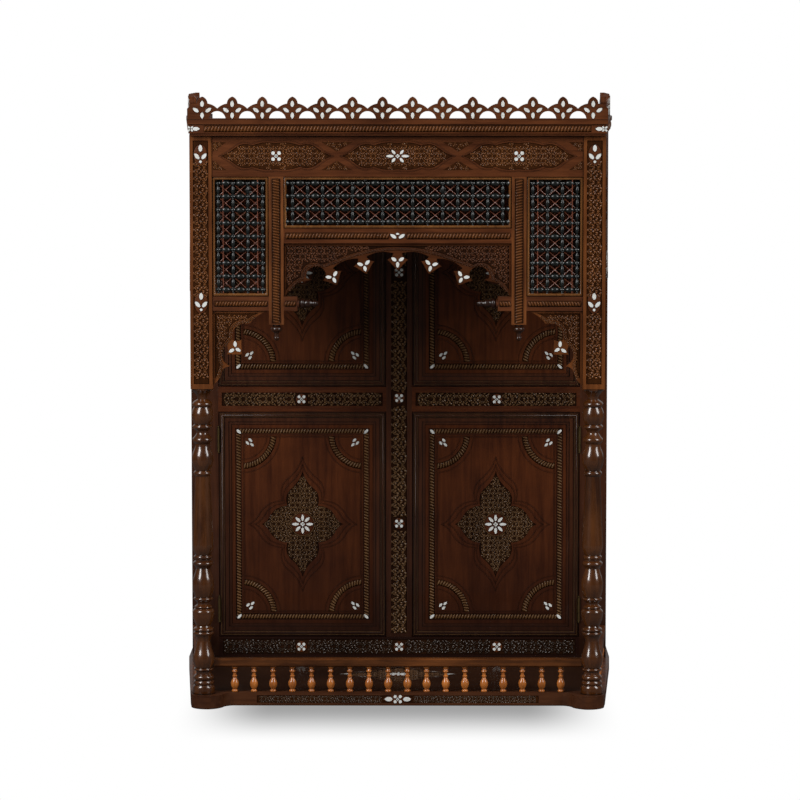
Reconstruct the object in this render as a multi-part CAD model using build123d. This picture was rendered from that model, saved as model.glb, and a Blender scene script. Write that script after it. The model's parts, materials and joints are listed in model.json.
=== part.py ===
from build123d import *
import math
import os

# A carved cupboard with a porch. Four hinged doors stand behind a deep canopy that
# rests on two turned columns, and a low gallery runs round the deck between them.
# Millimetres, Z up, the front faces -Y. The pieces are built with Y = 0 at the front
# of the posts, and the finished model is centred on its footprint when it is written.

# ------------------------------------------------------------------ driving sizes
# Plan: the porch flares from its posts to the wider body.
FACADE_HALF = 497.0        # half-width across the outer faces of the posts
BODY_HALF = 531.0          # half-width of the body
PORCH_DEPTH = 570.0        # front of the posts to the front of the face frame
BODY_DEPTH = 300.0         # front of the face frame to the back of the body

# Platform
PLATFORM_H = 32.0
BASE_LIP = 9.0             # how far the platform stands proud of the body
BASE_FRONT_LIP = 3.0       # and of the posts
BASE_RAIL_FRONT = 36.0     # the front rail lies this far behind the posts' front
BASE_RAIL_T = 28.0
BLOCK_W = 97.0             # width of a corner block, in from the posts' outer faces
BLOCK_BULGE = 18.0         # the blocks' front stands proud of the posts by this much
DECK_T = 14.0
BEARER_W = 40.0

# Face frame, from the platform up
BOTTOM_RAIL_H = 52.0
OPENING_H = 581.0
MIDDLE_RAIL_H = 64.0
TOP_RAIL_H = 72.5
FRAME_T = 24.0
STILE_W = 69.0
CENTRE_STILE_HALF = 33.0

# Carcass boards
SIDE_T = 22.0
SHELF_T = 18.0
BACK_T = 12.0

# Doors
DOOR_GAP = 1.5
DOOR_T = 22.0
DOOR_MEMBER_W = 31.0
DOOR_LIP_T = 7.0           # front part of each member, which covers the panel's edge
DOOR_REBATE = 8.0
PANEL_T = 10.0
PANEL_FIT = 0.3
BEAD_RISE = 2.5            # each step of the members' moulding
BAND_W = 17.0              # channel of the rope-carved border on the panel
BAND_MARGIN = 10.0
MEDALLION_HALF_W = 105.0
MEDALLION_HALF_H = 137.0

# Hinges and catches
HINGE_H = 60.0
HINGE_INSET = 70.0         # from each end of a door to the middle of the hinge
LEAF_T = 2.0
LEAF_DEPTH = 16.0          # how far a leaf reaches behind the door's face
PIN_R = 1.5
BARREL_R = 3.2
BARREL_PROUD = 3.5         # pin axis in front of the doors' face
KNUCKLE_GAP = 0.3
PIN_PLAY = 0.08
CATCH_H = 30.0
CATCH_T = 12.0
CATCH_REACH = 16.0         # how far a catch reaches past the centre stile
CATCH_PLAY = 0.3
PLUNGER_R = 4.0

# Carved fields are sunk below the face of their board
CARVE_DEPTH = 2.0
POST_FIELD_W = 37.0
POST_FIELD_END = 12.0
STILE_FIELD_HALF = 20.0
RAIL_FIELD_H = 34.0
BOTTOM_FIELD_H = 40.0
FIELD_END = 9.0
CARTOUCHE_HALF_W = 133.0
CARTOUCHE_HALF_H = 31.0
CARTOUCHE_PITCH = 290.0
ARCH_BORDER = 6.0          # plain border round the carved ground of arch and brackets
BASE_FIELD_END = 58.0      # plain wood at each end of the base rail's field
BASE_FIELD_H = 18.0
DECK_MEDALLION_HALF_W = 137.0
DECK_MEDALLION_HALF_H = 111.0

# Columns, posts and the porch's front
COLUMN_H = 743.0
POST_W = 53.0
POST_D = 54.0
FRIEZE_H = 98.5
FRIEZE_T = 26.0
RAIL_T = 24.0
RECESS = 2.0               # rails and strips lie this far behind the posts' front
SIDE_LATTICE_H = 286.5
SIDE_RAIL_H = 34.5
SIDE_RAIL_INNER = 240.0    # the side rails reach in to this half-width
STRIP_X = 290.5            # centre line of the upright strips
STRIP_W = 35.5
STRIP_TAIL = 33.0          # how far the strips run on below the side rails
CENTRE_LATTICE_H = 123.5
CENTRE_RAIL_H = 35.5
ARCH_H = 126.0
ARCH_T = 14.0
ARCH_RECESS = 8.0
ARCH_DRAWN_HALF = 272.75   # half-width for which the arch's edge is drawn; it is stretched to fit
ARCH_FOCUS_DROP = 252.0    # centre of the arch's circles below the panel's foot
ARCH_FIELD_R = 369.0       # lower edge of the carved ground, over the middle
ARCH_FIELD_SPREAD = 24.0   # degrees each side of the middle
FIELD_FOOT_UP = 14.0
ARCH_LOBE_R = 359.5        # tops of the flat lobes
FLOWER_R = 335.0           # middles of the hanging flowers
FLOWER_PITCH = 13.8        # degrees from one flower to the next
BRACKET_T = 14.0
BRACKET_H = 178.0
BRACKET_DRAWN_W = 135.5    # width and height for which the bracket's edge is drawn
BRACKET_DRAWN_H = 178.0
BRACKET_FLOWER = (54.0, 90.0)
BRACKET_SLANT = 45.0       # degrees down from level to the flower's tip
SIDE_BOARD_T = 20.0
SIDE_BAY_MARGIN = 40.0     # solid wood each side of the lattice in a side board

# Lattices: a beaded frame round crossing turned bars
BEAD_W = 7.0
LATTICE_FRAME_T = 16.0
BAR_W = 7.0
BAR_T = 8.0
LATTICE_FIT = 0.15

# Cornice and crest
CORNICE_FRONT = 20.0       # overhang in front of the posts
CORNICE_LIP_FRONT = 4.0    # overhang at the side, at the front corner
CORNICE_LIP_BODY = 9.0     # overhang at the side, along the body
CORNICE_W = 50.0           # width of the moulding from front to back
CORNICE_FOOT_H = 5.0
CORNICE_BAND_H = 22.0
CORNICE_CAP_H = 10.0
CORNICE_FOOT_IN = 7.0
CORNICE_BAND_IN = 3.5
ROOF_T = 12.0
CREST_H = 55.5
CREST_T = 12.0
CREST_SETBACK = 6.0
FINIALS_FRONT = 14
FINIALS_FLANK = 8
FINIALS_BODY = 4
CREST_STRIP_H = 4.0
CREST_HOLE_HALF_W = 20.0
CREST_HOLE_H = 17.0
CREST_DIP_H = 27.0
CREST_SHOULDER_H = 39.0
CREST_SHOULDER_HALF = 12.5
CREST_BLOCK = 21.0
CREST_BLOCK_H = 51.0

# Gallery
HANDRAIL_Z = 95.0
HANDRAIL_H = 20.0
HANDRAIL_T = 24.0
SPINDLES_FRONT = 18
SPINDLE_PITCH = 46.6
SPINDLES_SIDE = 10
SIDE_GALLERY_INSET = 10.0  # handrail's outer face inside the platform's edge
FIT = 0.2                  # clearance between pieces that butt or seat

# ------------------------------------------------------------------ worked-out sizes
REAR = PORCH_DEPTH + BODY_DEPTH
OPENING_OUTER = BODY_HALF - STILE_W
LOWER_OPENING_Z = PLATFORM_H + BOTTOM_RAIL_H
MIDDLE_RAIL_Z = LOWER_OPENING_Z + OPENING_H
UPPER_OPENING_Z = MIDDLE_RAIL_Z + MIDDLE_RAIL_H
TOP_RAIL_Z = UPPER_OPENING_Z + OPENING_H
BODY_TOP = TOP_RAIL_Z + TOP_RAIL_H
FRAME_BACK = PORCH_DEPTH + FRAME_T
BACK_FRONT = REAR - BACK_T
CARCASS_INNER = BODY_HALF - SIDE_T
BASE_RAIL_BACK = BASE_RAIL_FRONT + BASE_RAIL_T
BASE_SIDE_T = SIDE_T + BASE_LIP
BASE_FRONT_HALF = FACADE_HALF + BASE_FRONT_LIP
BLOCK_INNER = FACADE_HALF - BLOCK_W
BASE_BODY_HALF = BODY_HALF + BASE_LIP
POST_INNER = FACADE_HALF - POST_W
COLUMN_X = FACADE_HALF - POST_W / 2
COLUMN_Y = POST_D / 2
COLUMN_TOP = PLATFORM_H + COLUMN_H
FRIEZE_Z = BODY_TOP - FRIEZE_H
SIDE_RAIL_TOP = FRIEZE_Z - SIDE_LATTICE_H
SIDE_RAIL_Z = SIDE_RAIL_TOP - SIDE_RAIL_H
STRIP_FOOT = SIDE_RAIL_Z - STRIP_TAIL
STRIP_INNER = STRIP_X - STRIP_W / 2
STRIP_OUTER = STRIP_X + STRIP_W / 2
CENTRE_LATTICE_Z = FRIEZE_Z - CENTRE_LATTICE_H
CENTRE_RAIL_Z = CENTRE_LATTICE_Z - CENTRE_RAIL_H
ARCH_Z = CENTRE_RAIL_Z - ARCH_H
RAIL_BACK = RECESS + RAIL_T
FRIEZE_BACK = RECESS + FRIEZE_T
CORNICE_H = CORNICE_FOOT_H + CORNICE_BAND_H + CORNICE_CAP_H
CORNICE_TOP = BODY_TOP + CORNICE_H
CORNICE_BACK = CORNICE_W - CORNICE_FRONT
FLARE = math.atan2(BODY_HALF - FACADE_HALF, PORCH_DEPTH)
CENTRE_Y = (REAR - CORNICE_FRONT) / 2
DOOR_W = OPENING_OUTER - CENTRE_STILE_HALF - 2 * DOOR_GAP
DOOR_H = OPENING_H - 2 * DOOR_GAP
DOOR_X = (OPENING_OUTER + CENTRE_STILE_HALF) / 2
PIN_X = OPENING_OUTER - DOOR_GAP / 2
PIN_Y = PORCH_DEPTH - BARREL_PROUD


# ------------------------------------------------------------------ shape helpers
def block(x0, x1, y0, y1, z0, z1):
    """A board given by its two corners."""
    middle = ((x0 + x1) / 2, (y0 + y1) / 2, (z0 + z1) / 2)
    return Pos(*middle) * Box(x1 - x0, y1 - y0, z1 - z0)


def outline(*steps):
    """A closed face. A step is a point, or (through, end) for an arc."""
    edges = []
    here = steps[0]
    for step in steps[1:] + (steps[0],):
        if isinstance(step[0], tuple):
            edges.append(ThreePointArc(here, step[0], step[1]))
            here = step[1]
        elif math.dist(here, step) > 1e-6:
            edges.append(Line(here, step))
            here = step
    return make_face(edges)


def plan(z0, z1, *steps):
    """A prism that stands on a plan outline."""
    return Pos(0, 0, z0) * extrude(outline(*steps), z1 - z0)


def front(face, y0, y1):
    """A board from y0 to y1 whose front view is the face, drawn in X and Z."""
    return Pos(0, y1, 0) * extrude(Plane.XZ * face, y1 - y0)


def turned(*steps):
    """A turned piece about Z, from its (radius, height) outline."""
    return revolve(Plane.XZ * outline(*steps), Axis.Z)


def field(x0, x1, z0, z1):
    """A rectangle in the front view."""
    return Pos((x0 + x1) / 2, (z0 + z1) / 2) * Rectangle(x1 - x0, z1 - z0)


def sunk(board, face, surface):
    """The board with a carved field let into its front, whose face is at y = surface."""
    return board - front(face, surface - 1, surface + CARVE_DEPTH)


def four_ways(w, h, quarter):
    """A closed face from the top to the right end of a quarter outline, mirrored twice.

    The quarter's arcs are (through, end) pairs in shares of the two half-sizes.
    """
    ends = [(0, 1)] + [end for through, end in quarter]
    steps = [(0, h)]
    for sx, sz in ((1, 1), (1, -1), (-1, -1), (-1, 1)):
        ahead = sx * sz > 0
        order = range(len(quarter)) if ahead else reversed(range(len(quarter)))
        for i in order:
            through = quarter[i][0]
            end = ends[i + 1] if ahead else ends[i]
            over = (sx * w * through[0], sz * h * through[1])
            steps.append((over, (sx * w * end[0], sz * h * end[1])))
    return outline(*steps)


MEDALLION = (              # a pointed cross of four lobes
    ((0.10, 0.82), (0.29, 0.66)),
    ((0.39, 0.52), (0.37, 0.345)),
    ((0.63, 0.29), (0.80, 0.14)),
    ((0.90, 0.045), (1.0, 0.0)),
)
CARTOUCHE = (              # a long pointed panel with a full middle
    ((0.22, 1.04), (0.43, 0.82)),
    ((0.58, 0.92), (0.73, 0.66)),
    ((0.87, 0.26), (1.0, 0.0)),
)


def other_side(piece):
    """The same piece on the left."""
    return mirror(piece, Plane.YZ)


def group(pieces):
    """Several separate pieces in one node."""
    return Compound(children=list(pieces))


def flared(y, at_front, at_body, y_front=0.0):
    """Half-width at depth y on a side that flares to the body and runs straight on."""
    share = (y - y_front) / (PORCH_DEPTH - y_front)
    return at_front + (at_body - at_front) * min(max(share, 0.0), 1.0)


def flank_plane(x, y, z):
    """Upright plane on the right flank: its x runs backwards along the flare."""
    along = (math.sin(FLARE), math.cos(FLARE), 0)
    outward = (math.cos(FLARE), -math.sin(FLARE), 0)
    return Plane(origin=(x, y, z), x_dir=along, z_dir=outward)


# ------------------------------------------------------------------ platform
def base_half(y):
    return flared(y, BASE_FRONT_HALF, BASE_BODY_HALF)


def base_corner_block():
    """Serpentine block under the right column: round corner, full front, hollow end."""
    crown = BLOCK_INNER + 0.54 * BLOCK_W
    turn = BLOCK_INNER + 0.25 * BLOCK_W
    middle = (BASE_RAIL_FRONT - BLOCK_BULGE) / 2
    shoulder = (BASE_FRONT_HALF - BLOCK_W / 8, -BLOCK_BULGE * 0.45)
    hollow = (turn - BLOCK_W / 9, BASE_RAIL_FRONT * 0.8)
    return plan(
        0, PLATFORM_H,
        (base_half(BASE_RAIL_BACK), BASE_RAIL_BACK),
        (base_half(0), BASE_RAIL_FRONT / 2),
        (shoulder, (crown, -BLOCK_BULGE)),
        ((turn + BLOCK_W / 6, -BLOCK_BULGE * 0.6), (turn, middle)),
        (hollow, (BLOCK_INNER, BASE_RAIL_FRONT)),
        (BLOCK_INNER, BASE_RAIL_BACK),
    )


def base_side():
    """Right side board: along the flare, then along the body."""
    return plan(
        0, PLATFORM_H,
        (base_half(BASE_RAIL_BACK), BASE_RAIL_BACK),
        (BASE_BODY_HALF, PORCH_DEPTH),
        (BASE_BODY_HALF, REAR),
        (BASE_BODY_HALF - BASE_SIDE_T, REAR),
        (BASE_BODY_HALF - BASE_SIDE_T, PORCH_DEPTH),
        (base_half(BASE_RAIL_BACK) - BASE_SIDE_T, BASE_RAIL_BACK),
    )


def base_inner(y):
    return base_half(y) - BASE_SIDE_T - FIT


def base_bearers():
    """Bearers under the deck and the face frame, and the rail across the back."""
    pieces = []
    first = BASE_RAIL_BACK + 0.45 * (PORCH_DEPTH - BASE_RAIL_BACK)
    for y in (first, PORCH_DEPTH - BEARER_W / 2):
        half = base_inner(y)
        pieces.append(block(-half, half, y, y + BEARER_W, 0, PLATFORM_H - DECK_T))
    half = base_inner(REAR)
    pieces.append(block(-half, half, REAR - BASE_RAIL_T, REAR, 0, PLATFORM_H))
    return group(pieces)


def base_front_rail():
    rail = block(-BLOCK_INNER, BLOCK_INNER, BASE_RAIL_FRONT, BASE_RAIL_BACK, 0, PLATFORM_H)
    half = BLOCK_INNER - BASE_FIELD_END
    middle = PLATFORM_H / 2
    face = field(-half, half, middle - BASE_FIELD_H / 2, middle + BASE_FIELD_H / 2)
    return sunk(rail, face, BASE_RAIL_FRONT)


def deck_board():
    """Deck between the side boards, with a carved medallion in the porch's middle."""
    y0 = BASE_RAIL_BACK + FIT
    board = plan(
        PLATFORM_H - DECK_T, PLATFORM_H,
        (-base_inner(y0), y0),
        (base_inner(y0), y0),
        (base_inner(PORCH_DEPTH), PORCH_DEPTH),
        (base_inner(PORCH_DEPTH), FRAME_BACK),
        (-base_inner(PORCH_DEPTH), FRAME_BACK),
        (-base_inner(PORCH_DEPTH), PORCH_DEPTH),
    )
    face = four_ways(DECK_MEDALLION_HALF_W, DECK_MEDALLION_HALF_H, MEDALLION)
    middle = Pos(0, (BASE_RAIL_FRONT + PORCH_DEPTH) / 2, PLATFORM_H - CARVE_DEPTH)
    return board - middle * extrude(face, 2 * CARVE_DEPTH)


# ------------------------------------------------------------------ gallery
def gallery_line(y):
    """Half-width of the side gallery's centre line."""
    return base_half(y) - SIDE_GALLERY_INSET - HANDRAIL_T / 2


def gallery_rail_front():
    """Front handrail, scribed round the backs of the columns."""
    end = gallery_line(BASE_RAIL_FRONT) - HANDRAIL_T / 2
    rail = block(-end, end, BASE_RAIL_FRONT, BASE_RAIL_FRONT + HANDRAIL_T,
                 HANDRAIL_Z, HANDRAIL_Z + HANDRAIL_H)
    rail = chamfer(rail.edges().filter_by(Axis.X), 3)
    for x in (-COLUMN_X, COLUMN_X):
        rail -= Pos(x, COLUMN_Y, HANDRAIL_Z) * Cylinder(POST_W / 2, 3 * HANDRAIL_H)
    return rail


def gallery_rail_side():
    """Right handrail, from behind the column to the face frame."""
    y0 = BASE_RAIL_FRONT
    outer = [(base_half(y) - SIDE_GALLERY_INSET, y) for y in (y0, PORCH_DEPTH)]
    rail = plan(
        HANDRAIL_Z, HANDRAIL_Z + HANDRAIL_H,
        *outer,
        (outer[1][0] - HANDRAIL_T, PORCH_DEPTH),
        (outer[0][0] - HANDRAIL_T + FIT, y0),
    )
    return rail - Pos(COLUMN_X, COLUMN_Y, HANDRAIL_Z) * Cylinder(POST_W / 2, 3 * HANDRAIL_H)


def spindle():
    """Small baluster between the platform and the handrail."""
    h = HANDRAIL_Z - PLATFORM_H
    return turned(
        (0, 0), (7.5, 0), (7.5, 4.5), (5.2, 7.5),
        ((9.6, 20), (5.4, 32)),
        (4.8, 39), (5.4, h - 19.5),
        ((8.2, h - 13), (5.6, h - 7)),
        (7.2, h - 4), (7.2, h), (0, h),
    )


def spindle_row(places):
    one = spindle()
    return group(Pos(x, y, PLATFORM_H) * one for x, y in places)


def front_places():
    first = -SPINDLE_PITCH * (SPINDLES_FRONT - 1) / 2
    y = BASE_RAIL_FRONT + HANDRAIL_T / 2
    return [(first + SPINDLE_PITCH * i, y) for i in range(SPINDLES_FRONT)]


def side_places():
    y0 = BASE_RAIL_BACK + SPINDLE_PITCH / 2
    step = (PORCH_DEPTH - SPINDLE_PITCH / 2 - y0) / (SPINDLES_SIDE - 1)
    ys = [y0 + step * i for i in range(SPINDLES_SIDE)]
    return [(gallery_line(y), y) for y in ys]


# ------------------------------------------------------------------ columns
COLUMN_FOOT = (            # (radius, height above the platform), or (through, end) for an arc
    (26.5, 0), (26.5, 17), (22.5, 22),
    ((24.8, 28), (21, 33.5)), ((24.8, 39.5), (21, 46)),
    (18.5, 49), (18.5, 55),
    ((24, 59), (20.5, 63.5)),
    ((26.4, 81), (23.5, 100)), ((18.8, 117), (16.3, 131)),
    (21.5, 143), ((25.2, 148), (21.5, 153)), ((24.6, 158), (18, 163)), (17, 166),
    ((24, 182), (26.2, 197)), ((25.3, 204), (20, 209)),
    ((21.5, 212.5), (17.5, 216)), (14.8, 219), (14.8, 222),
    (19, 227), ((23.8, 231), (20, 236)),
    ((26.3, 261), (23.3, 286)), ((19.5, 297), (17, 306)),
    (20.5, 312), ((25, 318), (19, 325)), (19, 328),
    ((23, 333.5), (19, 339)),
    ((23.6, 350), (25, 368)),
)
COLUMN_HEAD = (            # the same, with heights below the column's top
    (18.3, 216), (18.3, 212),
    ((22.3, 206), (17.8, 199)),
    ((26.2, 176), (22.5, 152)), ((18.8, 142), (17.8, 134)),
    (20, 131.5), ((24.3, 124.5), (19.5, 117)),
    (15.5, 111), ((14, 105), (17.5, 100)),
    ((24.3, 93.5), (19.5, 87)),
    ((26.4, 66), (20.5, 45)),
    ((24.5, 38), (19.5, 31)),
    (11.5, 26), (11.5, 23),
    ((17.5, 12.5), (26.5, 3)), (26.5, 0),
)


def from_top(step):
    """A step of the head's outline as a height above the column's foot."""
    if isinstance(step[0], tuple):
        return (from_top(step[0]), from_top(step[1]))
    return (step[0], COLUMN_H - step[1])


def column():
    """Turned column: balls and vases at both ends of a long tapering shaft."""
    head = [from_top(step) for step in COLUMN_HEAD]
    steps = [(0, 0), *COLUMN_FOOT, *head, (0, COLUMN_H)]
    return Pos(COLUMN_X, COLUMN_Y, PLATFORM_H) * turned(*steps)


# ------------------------------------------------------------------ porch front
def front_post():
    """Right post, with a tall carved field."""
    post = block(POST_INNER, FACADE_HALF, 0, POST_D, COLUMN_TOP, BODY_TOP)
    face = field(COLUMN_X - POST_FIELD_W / 2, COLUMN_X + POST_FIELD_W / 2,
                 COLUMN_TOP + POST_FIELD_END, BODY_TOP - POST_FIELD_END)
    return sunk(post, face, 0)


def frieze_rail():
    """Rail under the cornice, with three carved cartouches."""
    rail = block(-POST_INNER, POST_INNER, RECESS, FRIEZE_BACK, FRIEZE_Z, BODY_TOP)
    face = four_ways(CARTOUCHE_HALF_W, CARTOUCHE_HALF_H, CARTOUCHE)
    for x in (-CARTOUCHE_PITCH, 0, CARTOUCHE_PITCH):
        rail = sunk(rail, Pos(x, FRIEZE_Z + FRIEZE_H / 2) * face, RECESS)
    return rail


def drop_finial():
    """Turned drop: neck, ball, thin stem and a bead at the tip."""
    return turned(
        (0, 0), (10, 0), (10, -3), (8, -5),
        ((13.2, -11), (8, -18)),
        (5.2, -22), (5.2, -29),
        ((6.8, -33), (3, -39)), (0, -39),
    )


def rope_strip():
    """Right upright strip, halved over the side rail, with its turned drop."""
    half_y = RECESS + RAIL_T / 2
    strip = block(STRIP_INNER, STRIP_OUTER, RECESS, RAIL_BACK, STRIP_FOOT, FRIEZE_Z)
    strip -= block(STRIP_INNER - 1, STRIP_OUTER + 1, half_y, RAIL_BACK + 1, SIDE_RAIL_Z, SIDE_RAIL_TOP)
    return strip + Pos(STRIP_X, half_y, STRIP_FOOT) * drop_finial()


def end_finial():
    """Turned end of a side rail: rings, a barrel and a blunt tip."""
    return turned(
        (0, 0), (12, 0), (12, 4), (8.5, 6),
        ((12.2, 11), (8.5, 16)),
        (8, 18),
        ((9.6, 25), (7, 33)), (5.6, 36),
        ((7.6, 40), (6.4, 44)), (5, 49), (0, 49),
    )


def rope_rail():
    """Right side rail, halved behind the upright strip, with its turned end."""
    half_y = RECESS + RAIL_T / 2
    rail = block(SIDE_RAIL_INNER, POST_INNER, RECESS, RAIL_BACK, SIDE_RAIL_Z, SIDE_RAIL_TOP)
    rail -= block(STRIP_INNER, STRIP_OUTER, RECESS - 1, half_y, SIDE_RAIL_Z - 1, SIDE_RAIL_TOP + 1)
    middle_z = (SIDE_RAIL_Z + SIDE_RAIL_TOP) / 2
    return rail + Pos(SIDE_RAIL_INNER, half_y, middle_z) * Rot(0, -90, 0) * end_finial()


def centre_rail():
    return block(-STRIP_INNER, STRIP_INNER, RECESS, RAIL_BACK, CENTRE_RAIL_Z, CENTRE_LATTICE_Z)


def on_arch(half, radius, degrees):
    """A point on the arch's circles, which share one centre below the panel."""
    angle = math.radians(degrees)
    return across_arch(half, radius * math.sin(angle), radius * math.cos(angle) - ARCH_FOCUS_DROP)


def across_arch(half, x, up):
    """A point given for the drawn half-width, stretched to a panel's own."""
    return (x * half / ARCH_DRAWN_HALF, ARCH_Z + up)


FLOWER = (                 # (across, along towards the tip): horns and body of a cusp
    ((14, -10), (25, -3.5)),
    ((18, 2.5), (13, 8)),
    ((8.5, 13), (0, 21)),
)
FLOWER_NECK = (10, -19)
ARCH_FOOT_END = (          # outline of the arch from its foot to the first flower
    (268, 0), ((251, 24), (232, 33)), (207, 38), (219, 42),
)
ARCH_LAST_BEND = (204, 69)
FIELD_FOOT_END = (         # the carved ground's outline over that end
    ((246, 36), (232, 44)), ((217, 74), (182, 74)),
)


def placed(at, step):
    """A drawn step of an outline put in its place by at."""
    if isinstance(step[0], tuple):
        return (at(*step[0]), at(*step[1]))
    return at(*step)


def walked_back(steps):
    """Drawn steps of the right side as the left side's, in the opposite order."""
    ends = [step[1] if isinstance(step[0], tuple) else step for step in steps]
    back = [(-ends[-1][0], ends[-1][1])]
    for i in range(len(steps) - 1, 0, -1):
        end = (-ends[i - 1][0], ends[i - 1][1])
        if isinstance(steps[i][0], tuple):
            through = steps[i][0]
            back.append(((-through[0], through[1]), end))
        else:
            back.append(end)
    return back


def flower(place):
    """Steps round a tulip-shaped cusp from one side of its neck to the other.

    place turns (across, along) about the flower's middle into a point of the outline.
    """
    ends = [FLOWER_NECK] + [end for through, end in FLOWER]
    steps = [place(*FLOWER_NECK)]
    steps += [(place(*through), place(*end)) for through, end in FLOWER]
    for k in reversed(range(len(FLOWER))):
        through = FLOWER[k][0]
        steps.append((place(-through[0], through[1]), place(-ends[k][0], ends[k][1])))
    return steps


def arch_edge(half):
    """Lower edge of an arch panel, right to left: five hanging flowers between lobes."""
    def at(x, up):
        return across_arch(half, x, up)

    def on_flower(k):
        angle = math.radians(k * FLOWER_PITCH)

        def place(across, along):
            reach = FLOWER_R - along
            return at(reach * math.sin(angle) + across * math.cos(angle),
                      reach * math.cos(angle) - across * math.sin(angle) - ARCH_FOCUS_DROP)
        return place

    steps = [at(ARCH_DRAWN_HALF, 0)] + [placed(at, step) for step in ARCH_FOOT_END]
    bend = at(*ARCH_LAST_BEND)
    for k in (2, 1, 0, -1, -2):
        points = flower(on_flower(k))
        steps.append((bend, points[0]))
        steps += points[1:]
        bend = on_arch(half, ARCH_LOBE_R, (k - 0.5) * FLOWER_PITCH)
    left = walked_back([(ARCH_DRAWN_HALF, 0), *ARCH_FOOT_END])
    steps.append((at(-ARCH_LAST_BEND[0], ARCH_LAST_BEND[1]), at(*left[0])))
    return steps + [placed(at, step) for step in left[1:]]


def arch_field(half, top):
    """Carved ground above the lobes: two spandrels joined by a strip over the crown."""
    def at(x, up):
        return across_arch(half, x, up)

    side = half - ARCH_BORDER
    foot = ARCH_Z + FIELD_FOOT_UP
    right = [placed(at, step) for step in FIELD_FOOT_END]
    left = [placed(at, step) for step in walked_back([(side * ARCH_DRAWN_HALF / half, FIELD_FOOT_UP),
                                                      *FIELD_FOOT_END])]
    return outline(
        (-side, top), (side, top), (side, foot), *right,
        on_arch(half, ARCH_FIELD_R, ARCH_FIELD_SPREAD),
        (on_arch(half, ARCH_FIELD_R, 0), on_arch(half, ARCH_FIELD_R, -ARCH_FIELD_SPREAD)),
        *left,
    )


def arch_panel():
    """Cusped arch panel between the upright strips."""
    half = STRIP_INNER
    face = outline((-half, CENTRE_RAIL_Z), (half, CENTRE_RAIL_Z), *arch_edge(half))
    panel = front(face, ARCH_RECESS, ARCH_RECESS + ARCH_T)
    return sunk(panel, arch_field(half, CENTRE_RAIL_Z - ARCH_BORDER), ARCH_RECESS)


def bracket():
    """Right corner bracket under the side rail: scooped lobes and one hanging flower."""
    stretch = (POST_INNER - STRIP_OUTER - FIT) / BRACKET_DRAWN_W
    drop = BRACKET_H / BRACKET_DRAWN_H

    def at(inward, down):
        return (POST_INNER - inward * stretch, SIDE_RAIL_Z - down * drop)

    def on_flower(across, along):
        slant = math.radians(BRACKET_SLANT)
        inward, down = BRACKET_FLOWER
        return at(inward + across * math.sin(slant) + along * math.cos(slant),
                  down - across * math.cos(slant) + along * math.sin(slant))

    points = flower(on_flower)
    face = outline(
        at(0, 0), at(BRACKET_DRAWN_W, 0),
        (at(110, 11), at(90, 30)), at(84, 31),
        (at(55, 40), points[0]), *points[1:],
        (at(22, 104), at(28, 124)), at(40, 134),
        (at(28, 138), at(20, 152)), (at(12, 168), at(3, BRACKET_DRAWN_H)),
        at(0, BRACKET_DRAWN_H),
    )
    edge = ARCH_BORDER
    ground = outline(
        at(edge, edge), at(112, edge), (at(98, 11), at(80, 24)),
        (at(48, 32), at(40, 62)), at(24, 82),
        (at(14, 104), at(18, 126)), (at(13, 148), at(edge, 164)),
    )
    return sunk(front(face, ARCH_RECESS, ARCH_RECESS + BRACKET_T), ground, ARCH_RECESS)


# ------------------------------------------------------------------ lattices
def lattice(width, height, columns, rows):
    """Frame and crossing bars, drawn about its centre."""
    hole_w = width - 2 * BEAD_W
    hole_h = height - 2 * BEAD_W
    frame = Rectangle(width, height) - Rectangle(hole_w, hole_h)
    bars = Sketch()
    step_x = hole_w / (columns - 0.2)
    step_z = hole_h / (rows - 0.45)
    for i in range(columns):
        bars += Pos((i - (columns - 1) / 2) * step_x, 0) * Rectangle(BAR_W, hole_h)
    for j in range(rows):
        bars += Pos(0, (j - (rows - 1) / 2) * step_z) * Rectangle(hole_w, BAR_W)
    inset = (LATTICE_FRAME_T - BAR_T) / 2
    grid = Pos(0, 0, inset) * extrude(bars, BAR_T)
    return extrude(frame, LATTICE_FRAME_T) + grid


def front_lattice(x0, x1, z0, z1, columns, rows):
    """A lattice in an opening of the porch's front."""
    piece = lattice(x1 - x0 - 2 * LATTICE_FIT, z1 - z0 - 2 * LATTICE_FIT, columns, rows)
    place = Plane(origin=((x0 + x1) / 2, RECESS + LATTICE_FRAME_T, (z0 + z1) / 2),
                  x_dir=(1, 0, 0), z_dir=(0, -1, 0))
    return place * piece


# ------------------------------------------------------------------ porch sides and roof
def side_bay_length():
    return (PORCH_DEPTH - POST_D) / math.cos(FLARE)


def side_bay_place():
    """Middle of the right side board's outer face, at height zero."""
    y = (POST_D + PORCH_DEPTH) / 2
    return flank_plane(flared(y, FACADE_HALF, BODY_HALF), y, 0)


def side_lattice_rect():
    """Width, height and middle height of the lattice hole in a side board."""
    width = side_bay_length() - 2 * SIDE_BAY_MARGIN
    return width, CENTRE_LATTICE_H, CENTRE_LATTICE_Z + CENTRE_LATTICE_H / 2


def canopy_side():
    """Right side board of the porch: one board with a lattice hole and a cusped edge."""
    half = side_bay_length() / 2
    face = outline((-half - 5, BODY_TOP), (half + 5, BODY_TOP), (half + 5, ARCH_Z),
                   *arch_edge(half), (-half - 5, ARCH_Z))
    width, height, middle = side_lattice_rect()
    face -= Pos(0, middle) * Rectangle(width, height)
    board = side_bay_place() * extrude(face, -SIDE_BOARD_T)
    ground = arch_field(half, CENTRE_RAIL_Z - ARCH_BORDER)
    board -= side_bay_place() * Pos(0, 0, 1) * extrude(ground, -CARVE_DEPTH - 1)
    between = block(0, 2 * BODY_HALF, POST_D + FIT, PORCH_DEPTH - FIT, 0, 2 * BODY_TOP)
    return board & between


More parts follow.
